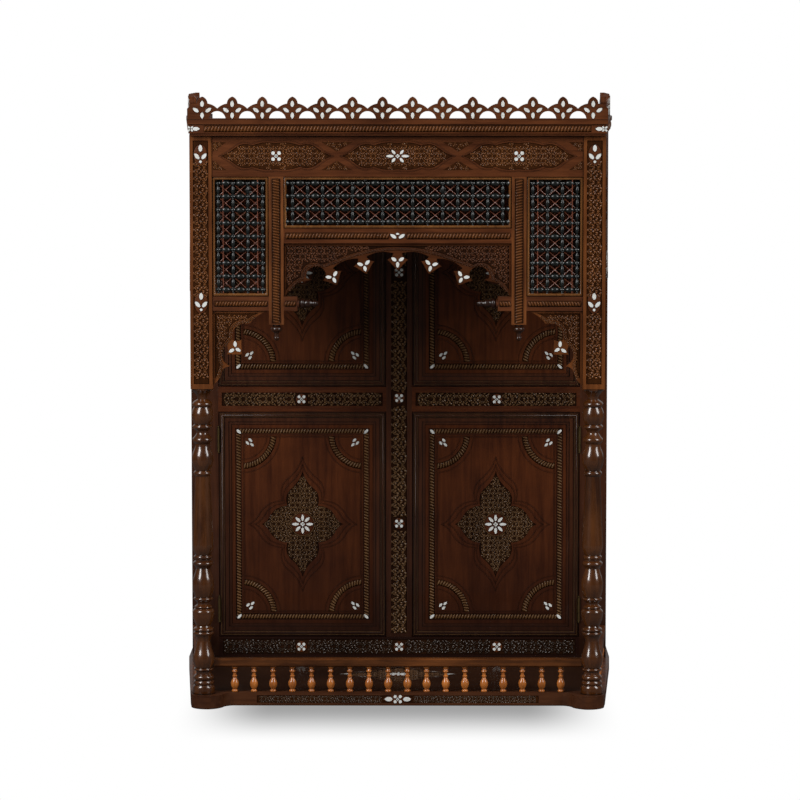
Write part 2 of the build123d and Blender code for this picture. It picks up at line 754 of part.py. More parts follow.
def side_lattice():
    """Lattice in the right side board."""
    width, height, middle = side_lattice_rect()
    piece = lattice(width - 2 * LATTICE_FIT, height - 2 * LATTICE_FIT, 13, 4)
    inward = RECESS + LATTICE_FRAME_T
    return side_bay_place() * (Pos(0, middle, -inward) * piece)


def cornice_half(y, inset=0.0):
    """Half-width of the cornice's outer edge at depth y."""
    at_front = FACADE_HALF + CORNICE_LIP_FRONT
    at_body = BODY_HALF + CORNICE_LIP_BODY
    return flared(y, at_front, at_body, -CORNICE_FRONT) - inset


def cornice_layers():
    """The moulding's steps from below: foot, rope-carved band and cap."""
    z = BODY_TOP
    steps = []
    for height, inset in ((CORNICE_FOOT_H, CORNICE_FOOT_IN), (CORNICE_BAND_H, CORNICE_BAND_IN),
                          (CORNICE_CAP_H, 0.0)):
        steps.append((z, z + height, inset))
        z += height
    return steps


def cornice_front():
    """Front moulding, full width, resting on the posts and the frieze rail."""
    layers = []
    for z0, z1, inset in cornice_layers():
        y0 = inset - CORNICE_FRONT
        layers.append(plan(
            z0, z1,
            (-cornice_half(y0, inset), y0), (cornice_half(y0, inset), y0),
            (cornice_half(CORNICE_BACK, inset), CORNICE_BACK),
            (-cornice_half(CORNICE_BACK, inset), CORNICE_BACK),
        ))
    return layers[0] + layers[1] + layers[2]


def cornice_side():
    """Right moulding, along the flare and then along the body."""
    layers = []
    for z0, z1, inset in cornice_layers():
        layers.append(plan(
            z0, z1,
            (cornice_half(CORNICE_BACK, inset), CORNICE_BACK),
            (cornice_half(PORCH_DEPTH, inset), PORCH_DEPTH),
            (cornice_half(REAR, inset), REAR),
            (cornice_half(REAR, CORNICE_W), REAR),
            (cornice_half(PORCH_DEPTH, CORNICE_W), PORCH_DEPTH),
            (cornice_half(CORNICE_BACK, CORNICE_W), CORNICE_BACK),
        ))
    return layers[0] + layers[1] + layers[2]


def porch_roof():
    """Roof board inside the cornice, over the porch and the face frame."""
    corners = [(cornice_half(y, CORNICE_W + FIT), y)
               for y in (CORNICE_BACK, PORCH_DEPTH, FRAME_BACK)]
    left = [(-x, y) for x, y in reversed(corners)]
    return plan(BODY_TOP, BODY_TOP + ROOF_T, *corners, *left)


def crest_board(length, count):
    """Pierced board of linked finials, drawn from its lower left corner."""
    pitch = length / count
    steps = [(0, 0), (0, CREST_DIP_H)]
    lobe = (CREST_SHOULDER_HALF * 0.74, (CREST_SHOULDER_H + CREST_H) / 2 + 1.5)
    slope = ((CREST_SHOULDER_HALF + pitch / 2) / 2, (CREST_SHOULDER_H + CREST_DIP_H) / 2 + 2.5)
    for i in range(count):
        c = (i + 0.5) * pitch
        steps += [
            ((c - slope[0], slope[1]), (c - CREST_SHOULDER_HALF, CREST_SHOULDER_H)),
            ((c - lobe[0], lobe[1]), (c, CREST_H)),
            ((c + lobe[0], lobe[1]), (c + CREST_SHOULDER_HALF, CREST_SHOULDER_H)),
            ((c + slope[0], slope[1]), (c + pitch / 2, CREST_DIP_H)),
        ]
    steps.append((length, 0))
    face = outline(*steps)
    for i in range(1, count):
        x = i * pitch
        top = (x, CREST_STRIP_H + CREST_HOLE_H)
        end = (x + CREST_HOLE_HALF_W, CREST_STRIP_H)
        face -= outline((x - CREST_HOLE_HALF_W, CREST_STRIP_H), (top, end))
    return face


def crest_front():
    """Crest along the front cornice."""
    half = cornice_half(-CORNICE_FRONT)
    face = Pos(-half, CORNICE_TOP) * crest_board(2 * half, FINIALS_FRONT)
    y0 = CREST_SETBACK - CORNICE_FRONT
    return front(face, y0, y0 + CREST_T)


def crest_side():
    """Right crest: flank board, chamfered corner block and body board."""
    y0 = CREST_SETBACK - CORNICE_FRONT + CREST_T + FIT
    y1 = PORCH_DEPTH - CREST_BLOCK
    x0 = cornice_half(y0, CREST_SETBACK)
    x1 = cornice_half(y1, CREST_SETBACK)
    length = math.hypot(x1 - x0, y1 - y0) - 2 * FIT
    along = ((x1 - x0) / (length + 2 * FIT), (y1 - y0) / (length + 2 * FIT), 0)
    flank = Plane(origin=(x0, y0, CORNICE_TOP), x_dir=along, z_dir=(along[1], -along[0], 0))
    outer = cornice_half(PORCH_DEPTH, CREST_SETBACK)
    body = Plane(origin=(outer, PORCH_DEPTH + FIT, CORNICE_TOP), x_dir=(0, 1, 0), z_dir=(1, 0, 0))
    corner = block(outer - CREST_BLOCK, outer, PORCH_DEPTH - CREST_BLOCK, PORCH_DEPTH,
                   CORNICE_TOP, CORNICE_TOP + CREST_BLOCK_H)
    top_inner = corner.edges().filter_by(Axis.Y).sort_by(Axis.Z)[-2:].sort_by(Axis.X)[0]
    return group([
        flank * extrude(crest_board(length, FINIALS_FLANK), -CREST_T),
        chamfer(top_inner, CREST_BLOCK / 3),
        body * extrude(crest_board(BODY_DEPTH - FIT, FINIALS_BODY), -CREST_T),
    ])


# ------------------------------------------------------------------ body
def carcass_side():
    return block(CARCASS_INNER, BODY_HALF, FRAME_BACK, BACK_FRONT, PLATFORM_H, BODY_TOP)


def carcass_boards():
    """Floor, middle shelf and top, between the carcass sides."""
    inner = CARCASS_INNER - FIT
    middle = MIDDLE_RAIL_Z + (MIDDLE_RAIL_H - SHELF_T) / 2
    tops = (LOWER_OPENING_Z, middle + SHELF_T, BODY_TOP)
    return group(block(-inner, inner, FRAME_BACK, BACK_FRONT, top - SHELF_T, top) for top in tops)


def back_panel():
    return block(-BODY_HALF, BODY_HALF, BACK_FRONT, REAR, PLATFORM_H, BODY_TOP)


def face_stile():
    """Right outer stile, with pockets for the fixed hinge leaves."""
    stile = block(OPENING_OUTER, BODY_HALF, PORCH_DEPTH, FRAME_BACK, PLATFORM_H, BODY_TOP)
    for z in hinge_heights():
        stile -= leaf_pocket(z, fixed=True)
    return stile


def centre_stile():
    """Stile between the doors, carved along its whole length."""
    stile = block(-CENTRE_STILE_HALF, CENTRE_STILE_HALF, PORCH_DEPTH, FRAME_BACK,
                  LOWER_OPENING_Z, TOP_RAIL_Z)
    face = field(-STILE_FIELD_HALF, STILE_FIELD_HALF,
                 LOWER_OPENING_Z + FIELD_END, TOP_RAIL_Z - FIELD_END)
    return sunk(stile, face, PORCH_DEPTH)


def carved_rail(x0, x1, z0, z1, field_h):
    """A rail of the face frame with a carved field along its middle."""
    rail = block(x0, x1, PORCH_DEPTH, FRAME_BACK, z0, z1)
    middle = (z0 + z1) / 2
    face = field(x0 + FIELD_END, x1 - FIELD_END, middle - field_h / 2, middle + field_h / 2)
    return sunk(rail, face, PORCH_DEPTH)


def face_rails():
    """Bottom and top rails right across, and the two middle rails between the doors."""
    across = (-OPENING_OUTER, OPENING_OUTER)
    bottom = carved_rail(*across, PLATFORM_H, LOWER_OPENING_Z, BOTTOM_FIELD_H)
    top = carved_rail(*across, TOP_RAIL_Z, BODY_TOP, RAIL_FIELD_H)
    middle = carved_rail(CENTRE_STILE_HALF, OPENING_OUTER, MIDDLE_RAIL_Z, UPPER_OPENING_Z, RAIL_FIELD_H)
    return group([bottom, top, middle, other_side(middle)])


# ------------------------------------------------------------------ doors
DOOR_FLOORS = {"lower": LOWER_OPENING_Z + DOOR_GAP, "upper": UPPER_OPENING_Z + DOOR_GAP}


def hinge_heights():
    """Middle height of each hinge on one side of the body."""
    heights = []
    for floor in DOOR_FLOORS.values():
        heights += [floor + HINGE_INSET, floor + DOOR_H - HINGE_INSET]
    return heights


def leaf_box(z, fixed, play=0.0):
    """Plate of one hinge leaf on the right, grown by play where it is a pocket."""
    side = 1 if fixed else -1
    near = PIN_X + side * KNUCKLE_GAP / 2
    far = near + side * (LEAF_T + play)
    x0, x1 = min(near, far), max(near, far)
    back = PORCH_DEPTH + LEAF_DEPTH + play
    half = HINGE_H / 2 + play
    return block(x0, x1, PIN_Y, back, z - half, z + half)


def leaf_pocket(z, fixed):
    return leaf_box(z, fixed, KNUCKLE_GAP / 3)


def knuckle(z0, z1, bore):
    """One hinge knuckle about the pin's axis."""
    middle = Pos(PIN_X, PIN_Y, (z0 + z1) / 2)
    return middle * (Cylinder(BARREL_R, z1 - z0) - Cylinder(bore, z1 - z0))


def barrel_room(z0, z1):
    """Space round the barrel that the other leaf leaves free."""
    return Pos(PIN_X, PIN_Y, (z0 + z1) / 2) * Cylinder(BARREL_R + KNUCKLE_GAP, z1 - z0)


def hinge_leaf(z, fixed):
    """Fixed leaf with the two outer knuckles, or door leaf with the middle one."""
    third = HINGE_H / 3
    low, high = z - third / 2, z + third / 2
    foot, head = z - HINGE_H / 2, z + HINGE_H / 2
    plate = leaf_box(z, fixed) - Pos(PIN_X, PIN_Y, z) * Cylinder(PIN_R + PIN_PLAY, 2 * HINGE_H)
    if fixed:
        plate -= barrel_room(low - KNUCKLE_GAP, high + KNUCKLE_GAP)
        knuckles = knuckle(foot, low - KNUCKLE_GAP, PIN_R) + knuckle(high + KNUCKLE_GAP, head, PIN_R)
    else:
        plate -= barrel_room(foot - 1, low) + barrel_room(high, head + 1)
        knuckles = knuckle(low, high, PIN_R + PIN_PLAY)
    return plate + knuckles


def hinge_pin(z):
    """Pin with a small ball at each end."""
    half = HINGE_H / 2
    ball = Sphere(BARREL_R * 0.8)
    rod = Cylinder(PIN_R, HINGE_H)
    ends = [Pos(0, 0, s * (half + BARREL_R * 0.8)) * ball for s in (-1, 1)]
    return Pos(PIN_X, PIN_Y, z) * (rod + ends[0] + ends[1] + Cylinder(PIN_R * 0.9, HINGE_H + 2 * BARREL_R))


def hinges_on_frame():
    """Fixed leaves and pins of all eight hinges."""
    right = []
    for z in hinge_heights():
        right += [hinge_leaf(z, fixed=True), hinge_pin(z)]
    return group(right + [other_side(piece) for piece in right])


def hinges_on_door(floor):
    """The two leaves screwed to a right-hand door."""
    places = (floor + HINGE_INSET, floor + DOOR_H - HINGE_INSET)
    return [hinge_leaf(z, fixed=False) for z in places]


def member(length, start, width, y0, y1):
    """One layer of a horizontal mitred door member, from start to width in from its edge."""
    half = length / 2
    face = outline(
        (start - half, start), (half - start, start), (half - width, width), (width - half, width),
    )
    return front(face, y0, y1)


def moulded_member(length):
    """Door member in section: raised bead, flat, lip over the panel, rebate behind."""
    y0 = PORCH_DEPTH
    y1 = y0 + BEAD_RISE
    y2 = y1 + BEAD_RISE
    y3 = y0 + DOOR_LIP_T
    layers = (
        (DOOR_MEMBER_W * 0.10, DOOR_MEMBER_W * 0.42, y0, y1),
        (0.0, DOOR_MEMBER_W * 0.78, y1, y2),
        (0.0, DOOR_MEMBER_W, y2, y3),
        (0.0, DOOR_MEMBER_W - DOOR_REBATE, y3, y0 + DOOR_T),
    )
    pieces = [member(length, *layer) for layer in layers]
    return pieces[0] + pieces[1] + pieces[2] + pieces[3]


def door_frame(floor):
    """The four mitred members of a right-hand door, rebated behind for the panel."""
    centre_z = floor + DOOR_H / 2
    pieces = []
    for length, reach, angle in ((DOOR_W, DOOR_H / 2, 0), (DOOR_H, DOOR_W / 2, 90),
                                 (DOOR_W, DOOR_H / 2, 180), (DOOR_H, DOOR_W / 2, 270)):
        place = Pos(DOOR_X, 0, centre_z) * Rot(0, -angle, 0) * Pos(0, 0, -reach)
        pieces.append(place * moulded_member(length))
    for z in (floor + HINGE_INSET, floor + DOOR_H - HINGE_INSET):
        pocket = leaf_pocket(z, fixed=False)
        pieces = [piece - pocket for piece in pieces]
    return pieces


def door_panel(floor):
    """Panel of a right-hand door, with channels for its rope border and medallion."""
    hole_w = DOOR_W - 2 * DOOR_MEMBER_W
    hole_h = DOOR_H - 2 * DOOR_MEMBER_W
    grow = 2 * (DOOR_REBATE - PANEL_FIT)
    y0 = PORCH_DEPTH + DOOR_LIP_T
    centre = Pos(DOOR_X, floor + DOOR_H / 2)
    board = front(centre * Rectangle(hole_w + grow, hole_h + grow), y0, y0 + PANEL_T)
    band_w = hole_w - 2 * BAND_MARGIN
    band_h = hole_h - 2 * BAND_MARGIN
    band = Rectangle(band_w, band_h) - Rectangle(band_w - 2 * BAND_W, band_h - 2 * BAND_W)
    medallion = four_ways(MEDALLION_HALF_W, MEDALLION_HALF_H, MEDALLION)
    return sunk(sunk(board, centre * band, y0), centre * medallion, y0)


def door_catches():
    """Push catches behind the centre stile, one for each door; the doors stop on them."""
    right = []
    for floor in DOOR_FLOORS.values():
        z = floor + DOOR_H / 2
        reach = CENTRE_STILE_HALF + CATCH_REACH
        case = block(CENTRE_STILE_HALF / 4, reach, FRAME_BACK, FRAME_BACK + CATCH_T,
                     z - CATCH_H / 2, z + CATCH_H / 2)
        tip = PORCH_DEPTH + DOOR_T + CATCH_PLAY
        length = FRAME_BACK + 1 - tip
        x = reach - 1.5 * PLUNGER_R
        plunger = Pos(x, tip + length / 2, z) * Rot(90, 0, 0) * Cylinder(PLUNGER_R, length)
        right.append(case + plunger)
    return group(right + [other_side(piece) for piece in right])


# ------------------------------------------------------------------ the nodes
def build():
    """Every node by name, still with Y = 0 at the posts' front."""
    nodes = {
        "base_front_rail": base_front_rail(),
        "base_corner_blocks": group([base_corner_block(), other_side(base_corner_block())]),
        "base_bearers": base_bearers(),
        "deck_board": deck_board(),
        "gallery_rail_front": gallery_rail_front(),
        "gallery_spindles_front": spindle_row(front_places()),
        "gallery_spindles_sides": spindle_row(side_places() + [(-x, y) for x, y in side_places()]),
        "frieze_rail": frieze_rail(),
        "centre_rope_rail": centre_rail(),
        "arch_panel": arch_panel(),
        "lattice_centre": front_lattice(-STRIP_INNER, STRIP_INNER, CENTRE_LATTICE_Z, FRIEZE_Z, 15, 4),
        "cornice_front": cornice_front(),
        "crest_front": crest_front(),
        "porch_roof": porch_roof(),
        "carcass_boards": carcass_boards(),
        "back_panel": back_panel(),
        "centre_stile": centre_stile(),
        "face_rails": face_rails(),
        "hinges_on_frame": hinges_on_frame(),
        "door_catches": door_catches(),
    }
    pairs = {
        "base_side": base_side(),
        "gallery_rail": gallery_rail_side(),
        "column": column(),
        "front_post": front_post(),
        "rope_strip": rope_strip(),
        "rope_rail": rope_rail(),
        "bracket": bracket(),
        "lattice": front_lattice(STRIP_OUTER, POST_INNER, SIDE_RAIL_TOP, FRIEZE_Z, 4, 9),
        "canopy_side": canopy_side(),
        "lattice_flank": side_lattice(),
        "cornice_side": cornice_side(),
        "crest_side": crest_side(),
        "carcass_side": carcass_side(),
        "face_stile": face_stile(),
    }
    for level, floor in DOOR_FLOORS.items():
        pairs[f"door_frame_{level}"] = group(door_frame(floor))
        pairs[f"door_panel_{level}"] = door_panel(floor)
        pairs[f"hinge_leaves_{level}"] = group(hinges_on_door(floor))
    for name, piece in pairs.items():
        nodes[f"{name}_right"] = piece
        nodes[f"{name}_left"] = other_side(piece)
    return nodes


os.makedirs("parts", exist_ok=True)
for name, piece in build().items():
    export_step(Pos(0, -CENTRE_Y, 0) * piece, f"parts/{name}.step")
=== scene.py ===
import json
import math

import bpy
from mathutils import Matrix, Vector


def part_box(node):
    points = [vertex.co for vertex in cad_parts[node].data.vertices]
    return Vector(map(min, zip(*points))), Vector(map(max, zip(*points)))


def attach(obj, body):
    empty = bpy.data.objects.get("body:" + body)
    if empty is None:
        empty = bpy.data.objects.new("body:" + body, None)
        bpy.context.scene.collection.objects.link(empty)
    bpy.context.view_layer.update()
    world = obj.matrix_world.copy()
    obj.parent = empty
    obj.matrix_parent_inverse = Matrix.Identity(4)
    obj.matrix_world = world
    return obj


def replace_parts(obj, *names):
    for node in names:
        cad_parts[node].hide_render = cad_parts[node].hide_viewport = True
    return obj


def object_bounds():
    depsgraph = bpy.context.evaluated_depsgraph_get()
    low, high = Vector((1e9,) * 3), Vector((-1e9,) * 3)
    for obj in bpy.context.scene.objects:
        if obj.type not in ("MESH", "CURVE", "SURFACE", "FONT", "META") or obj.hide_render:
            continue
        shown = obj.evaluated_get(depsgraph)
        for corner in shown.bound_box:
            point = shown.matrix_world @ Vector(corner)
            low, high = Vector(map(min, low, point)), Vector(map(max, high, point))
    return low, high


# A carved cupboard with a porch: columns, cusped arch, lattices, rope carving and
# mother-of-pearl inlay. Lengths are metres; MM turns a maker's millimetres into them.

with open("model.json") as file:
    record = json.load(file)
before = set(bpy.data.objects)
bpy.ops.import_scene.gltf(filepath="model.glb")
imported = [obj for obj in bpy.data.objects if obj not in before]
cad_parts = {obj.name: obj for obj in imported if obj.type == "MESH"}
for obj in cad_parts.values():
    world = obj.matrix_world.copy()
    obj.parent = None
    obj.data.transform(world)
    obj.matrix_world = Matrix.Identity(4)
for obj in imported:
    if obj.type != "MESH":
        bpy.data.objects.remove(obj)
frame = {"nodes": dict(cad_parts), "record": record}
cad_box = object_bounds()
bpy.ops.object.select_all(action="DESELECT")

MM = 0.001
SIDES = (("left", -1), ("right", 1))
DIAGONALS = (45, 135, 225, 315)
QUARTERS = (0, 90, 180, 270)


def mm(*values):
    return tuple(value * MM for value in values)


# ---- places from the frame
POST_LO, POST_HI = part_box("front_post_right")
ARCH_LO, ARCH_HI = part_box("arch_panel")
FRIEZE_LO, FRIEZE_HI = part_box("frieze_rail")
STRIP_LO, STRIP_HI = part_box("rope_strip_right")
STILE_LO, STILE_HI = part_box("centre_stile")
DOOR_LO, DOOR_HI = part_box("door_frame_lower_right")
DECK_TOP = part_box("deck_board")[1].z
BASE_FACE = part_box("base_front_rail")[0].y
PANEL_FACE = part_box("door_panel_lower_right")[0].y
POST_FACE = POST_LO.y
DOOR_FACE = STILE_LO.y
REAR = cad_box[1].y
CARVE_DEPTH = 2 * MM       # carved fields are sunk this far
STRIP_X = (STRIP_LO.x + STRIP_HI.x) / 2
STRIP_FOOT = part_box("bracket_right")[1].z - 33 * MM    # where a strip's turned drop begins
RAIL_INNER = 237 * MM      # where a side rope rail's turned finial begins
PORCH_DEPTH = DOOR_FACE - POST_FACE
FLARE_RISE = (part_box("face_stile_right")[1].x - POST_HI.x) / PORCH_DEPTH
PLATFORM_FRONT = 500 * MM  # half-width of the platform at its front
PLATFORM_RISE = (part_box("base_side_right")[1].x - PLATFORM_FRONT) / PORCH_DEPTH


# ---- mesh helpers
def choose(piece):
    """Makes a piece the only chosen one."""
    bpy.ops.object.select_all(action="DESELECT")
    piece.select_set(True)
    bpy.context.view_layer.objects.active = piece


def active(name):
    """Names the object that an operator has just added."""
    made = bpy.context.object
    made.name = name
    made.data.name = name
    return made


def stood(name, data):
    """A new object of the scene that holds this data."""
    made = bpy.data.objects.new(name, data)
    bpy.context.scene.collection.objects.link(made)
    return made


def edit():
    """Opens the active piece's mesh with all of it chosen."""
    bpy.ops.object.mode_set(mode="EDIT")
    bpy.ops.mesh.select_mode(type="VERT")
    bpy.ops.mesh.select_all(action="SELECT")


def done():
    bpy.ops.object.mode_set(mode="OBJECT")


def raised(height):
    """Draws what is chosen upwards."""
    bpy.ops.mesh.extrude_region_move(TRANSFORM_OT_translate={"value": (0, 0, height)})


def settle(piece):
    """Puts a piece's place into its mesh and its origin at the frame's."""
    choose(piece)
    bpy.ops.object.transform_apply(location=True, rotation=True, scale=True)
    return piece


def smooth(piece, degrees):
    settle(piece)
    bpy.ops.object.shade_smooth_by_angle(angle=math.radians(degrees))
    return piece


def join(pieces, name):
    """Joins pieces into one."""
    choose(pieces[0])
    for piece in pieces[1:]:
        piece.select_set(True)
    if len(pieces) > 1:
        bpy.ops.object.join()
    return active(name)


def copies(pattern, places, name):
    """One piece made of copies of a small pattern piece, one for each place."""
    made = []
    for place in places:
        mesh = pattern.data.copy()
        mesh.transform(place)
        if place.determinant() < 0:
            mesh.flip_normals()
        made.append(stood(name, mesh))
    return join(made, name)


def discard(*pieces):
    for piece in pieces:
        bpy.data.objects.remove(piece)


def finish(piece, body="cabinet", slot="carved_wood", paint=None):
    """Gives a finished piece its paint, the slot's unless another is given, and the body that it rides on."""
    piece.data.materials.clear()
    piece.data.materials.append(paint or WOODS[slot])
    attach(piece, body)
    return piece


# ---- planes and places
def facing_front(y):
    """The upright plane at y, its face to the front."""
    return Matrix.Translation((0, y, 0)) @ Matrix.Rotation(math.radians(90), 4, "X")


def side_plane(sign, run, place):
    """An upright plane on one side: u along run, v up, the face outwards."""
    run = Vector(run).normalized()
    out = Vector((sign * run.y, -sign * run.x, 0))
    turned_to = Matrix((run, Vector((0, 0, 1)), out)).transposed().to_4x4()
    return Matrix.Translation(place) @ turned_to


def flank(sign, place):
    """The plane of the porch's flared side."""
    return side_plane(sign, (sign * FLARE_RISE, 1, 0), place)


def spot(u, v, degrees=0.0, size=1.0, flip=False, reach=1.0):
    """A place on a flat pattern's own plane; reach stretches the pattern across."""
    scale = Matrix.Diagonal((-size if flip else size, size * reach, size, 1))
    return Matrix.Translation((u, v, 0)) @ Matrix.Rotation(math.radians(degrees), 4, "Z") @ scale


def turned(u, v, degrees, along, across=0):
    """The point along and across from (u, v) when both ways are turned by degrees."""
    a = math.radians(degrees)
    return (u + along * math.cos(a) - across * math.sin(a), v + along * math.sin(a) + across * math.cos(a))


def arc(u, v, radius, start, end, steps):
    """Points on an arc, in degrees from the u axis."""
    return [turned(u, v, start + (end - start) * i / steps, radius) for i in range(steps + 1)]


def shifted(points, u, v):
    return [(x + u, z + v) for x, z in points]


def rectangle(u0, u1, v0, v1):
    return [(u0, v0), (u1, v0), (u1, v1), (u0, v1)]


def boxed(u, v, half_u, half_v):
    """A rectangle about its centre."""
    return rectangle(u - half_u, u + half_u, v - half_v, v + half_v)


def walked(steps, arc_point, pieces):
    """Points of a line of points and (through, end) arcs, each arc in this many pieces."""
    points = [steps[0]]
    for step in steps[1:]:
        if isinstance(step[0], tuple):
            start = points[-1]
            points += [arc_point(start, *step, i / pieces) for i in range(1, pieces + 1)]
        else:
            points.append(step)
    return points


def curved(steps):
    """Points of a carved outline."""
    def bowed(start, through, end, t):
        start, through, end = Vector(start), Vector(through), Vector(end)
        bent = through * 2 - (start + end) / 2
        return tuple(start * (1 - t) ** 2 + bent * 2 * t * (1 - t) + end * t * t)

    return walked(steps, bowed, 8)


# A quarter of each figure in shares of its half-sizes, from its top to its right end.
MEDALLION = (
    ((0.10, 0.82), (0.29, 0.66)),
    ((0.39, 0.52), (0.37, 0.345)),
    ((0.63, 0.29), (0.80, 0.14)),
    ((0.90, 0.045), (1.0, 0.0)),
)
CARTOUCHE = (
    ((0.22, 1.04), (0.43, 0.82)),
    ((0.58, 0.92), (0.73, 0.66)),
    ((0.87, 0.26), (1.0, 0.0)),
)


def figure(quarter, w, h, u, v):
    """Points round a figure about (u, v), with its half-sizes in millimetres."""
    right = [(w * MM * x, h * MM * z) for x, z in curved([(0, 1), *quarter])]
    half = right + [(x, -z) for x, z in reversed(right)][1:]
    return shifted(half + [(-x, z) for x, z in reversed(half)][1:-1], u, v)


# ---- small carved shapes
def leaf(length, width, height):
    """A pointed leaf lying along X, with a ridge down its middle."""
    bpy.ops.mesh.primitive_circle_add(vertices=8, radius=1, fill_type="NGON")
    piece = active("leaf")
    edit()
    bpy.ops.transform.resize(value=(length / 2, width / 2, 1))
    done()
    for vertex in piece.data.vertices:
        if vertex.co.x > length * 0.3 and abs(vertex.co.y) > width * 0.2:
            vertex.co.y *= 0.55
    edit()
    raised(height * 0.45)
    raised(height * 0.55)
    bpy.ops.transform.resize(value=(0.72, 0.16, 1))
    done()
    return piece


PETAL_SHARE = 0.42         # a petal's usual width over its length


def petal():
    """A flat inlay 1 m long for scaling, pointed at the outer end and round at the inner one."""
    bpy.ops.mesh.primitive_circle_add(vertices=12, radius=1, fill_type="NGON")
    piece = active("petal")
    for vertex in piece.data.vertices:
        x = vertex.co.x
        if x > 0:
            vertex.co.y *= 1 - 0.45 * x * x
        vertex.co.x = (x + 1) / 2
        vertex.co.y *= PETAL_SHARE / 2
    edit()
    raised(0.8 * MM)
    bpy.ops.mesh.inset(thickness=0.25 * MM, depth=0.1 * MM)
    done()
    return piece


def disc():
    """A low round pad with a rounded rim, 1 m in radius and height for scaling."""
    bpy.ops.mesh.primitive_circle_add(vertices=16, radius=1, fill_type="NGON")
    piece = active("pad")
    edit()
    raised(0.75)
    raised(0.25)
    bpy.ops.transform.resize(value=(0.86, 0.86, 1))
    done()
    return piece


def ridge(points, width, height, closed=False):
    """A low rounded ridge along a flat line, as a mesh."""
    curve = bpy.data.curves.new("ridge", "CURVE")
    curve.dimensions = "3D"
    spline = curve.splines.new("POLY")
    spline.points.add(len(points) - 1)
    for place, (u, v) in zip(spline.points, points):
        place.co = (u, v, 0, 1)
    spline.use_cyclic_u = closed
    curve.bevel_depth = width / 2
    curve.bevel_resolution = 1
    curve.use_fill_caps = not closed
    choose(stood("ridge", curve))
    bpy.ops.object.convert(target="MESH")
    piece = active("ridge")
    piece.scale = (1, 1, 2 * height / width)
    return settle(piece)


def sprig():
    """A scrolling stem with five leaves, the unit of all the leafy carving."""
    curl = ridge(arc(0, 0, 4.6 * MM, -60, 200, 7), 2.1 * MM, 1.7 * MM)
    blade = leaf(*mm(7.2, 4.2, 1.9))
    places = (
        spot(*mm(0.6, 0.3), 35, 1.0),
        spot(*mm(5.4, -4.6), -55, 0.95),
        spot(*mm(-6.6, 0.6), 105, 0.95),
        spot(*mm(0.2, 7.0), 15, 0.9),
        spot(*mm(-3.2, -5.4), 150, 0.9),
    )
    leaves = copies(blade, places, "leaves")
    discard(blade)
    return join([curl, leaves], "sprig")


def strand():
    """One slanted strand of a rope band lying along X."""
    bpy.ops.mesh.primitive_uv_sphere_add(segments=8, ring_count=5, radius=1)
    piece = active("strand")
    edit()
    bpy.ops.transform.resize(value=mm(2.1, 4.9, 1.6))
    done()
    for vertex in piece.data.vertices:
        vertex.co.x += vertex.co.y * 0.42
    return piece


SPRIG = sprig()
SPRIG_STEP = 14.5 * MM
STRAND = strand()
STRAND_STEP = 6.0 * MM
PETAL = petal()
PAD = disc()


# ---- laying out carving
def inside(outline, u, v):
    """Whether a point lies inside a closed outline."""
    within = False
    before = outline[-1]
    for here in outline:
        if (here[1] > v) != (before[1] > v):
            cut = before[0] + (v - before[1]) / (here[1] - before[1]) * (here[0] - before[0])
            if u < cut:
                within = not within
        before = here
    return within


def well_inside(outline, u, v, room):
    around = [(u + room * math.cos(a), v + room * math.sin(a)) for a in (0.5, 1.57, 2.6, 3.67, 4.71, 5.8)]
    return all(inside(outline, *point) for point in around)


def foliage(outline, bare=(), size=1.0, room=0.40):
    """Places of sprigs that fill an outline, mirrored about its middle.

    bare lists (u, v, radius) of round patches that stay free for inlays.
    """
    us = [u for u, v in outline]
    vs = [v for u, v in outline]
    middle_u = (min(us) + max(us)) / 2
    middle_v = (min(vs) + max(vs)) / 2
    step = SPRIG_STEP * size
    count_u = int((max(us) - min(us)) / step / 2) + 2
    count_v = int((max(vs) - min(vs)) / step / 2) + 2
    places = []
    for i in range(-count_u, count_u):
        for j in range(-count_v, count_v):
            u = middle_u + (i + 0.5) * step
            v = middle_v + (j + 0.5) * step
            if not well_inside(outline, u, v, step * room):
                continue
            if any(math.hypot(u - x, v - z) < radius for x, z, radius in bare):
                continue
            flip = (i >= 0) != ((i + j) % 2 == 0)
            turn = 90 * ((i + 2 * j) % 4)
            places.append(spot(u, v, turn if flip else -turn, size, flip))
    return places


def row_places(points, size=1.0, flip=False, reach=1.0, step=STRAND_STEP):
    """Places in a row along a line of points, each turned with the line."""
    places = []
    step *= size
    spare = step / 2
    for (u0, v0), (u1, v1) in zip(points, points[1:]):
        length = math.hypot(u1 - u0, v1 - v0)
        angle = math.degrees(math.atan2(v1 - v0, u1 - u0))
        while spare < length:
            share = spare / length
            places.append(spot(u0 + (u1 - u0) * share, v0 + (v1 - v0) * share, angle, size, flip, reach))
            spare += step
        spare -= length
    return places


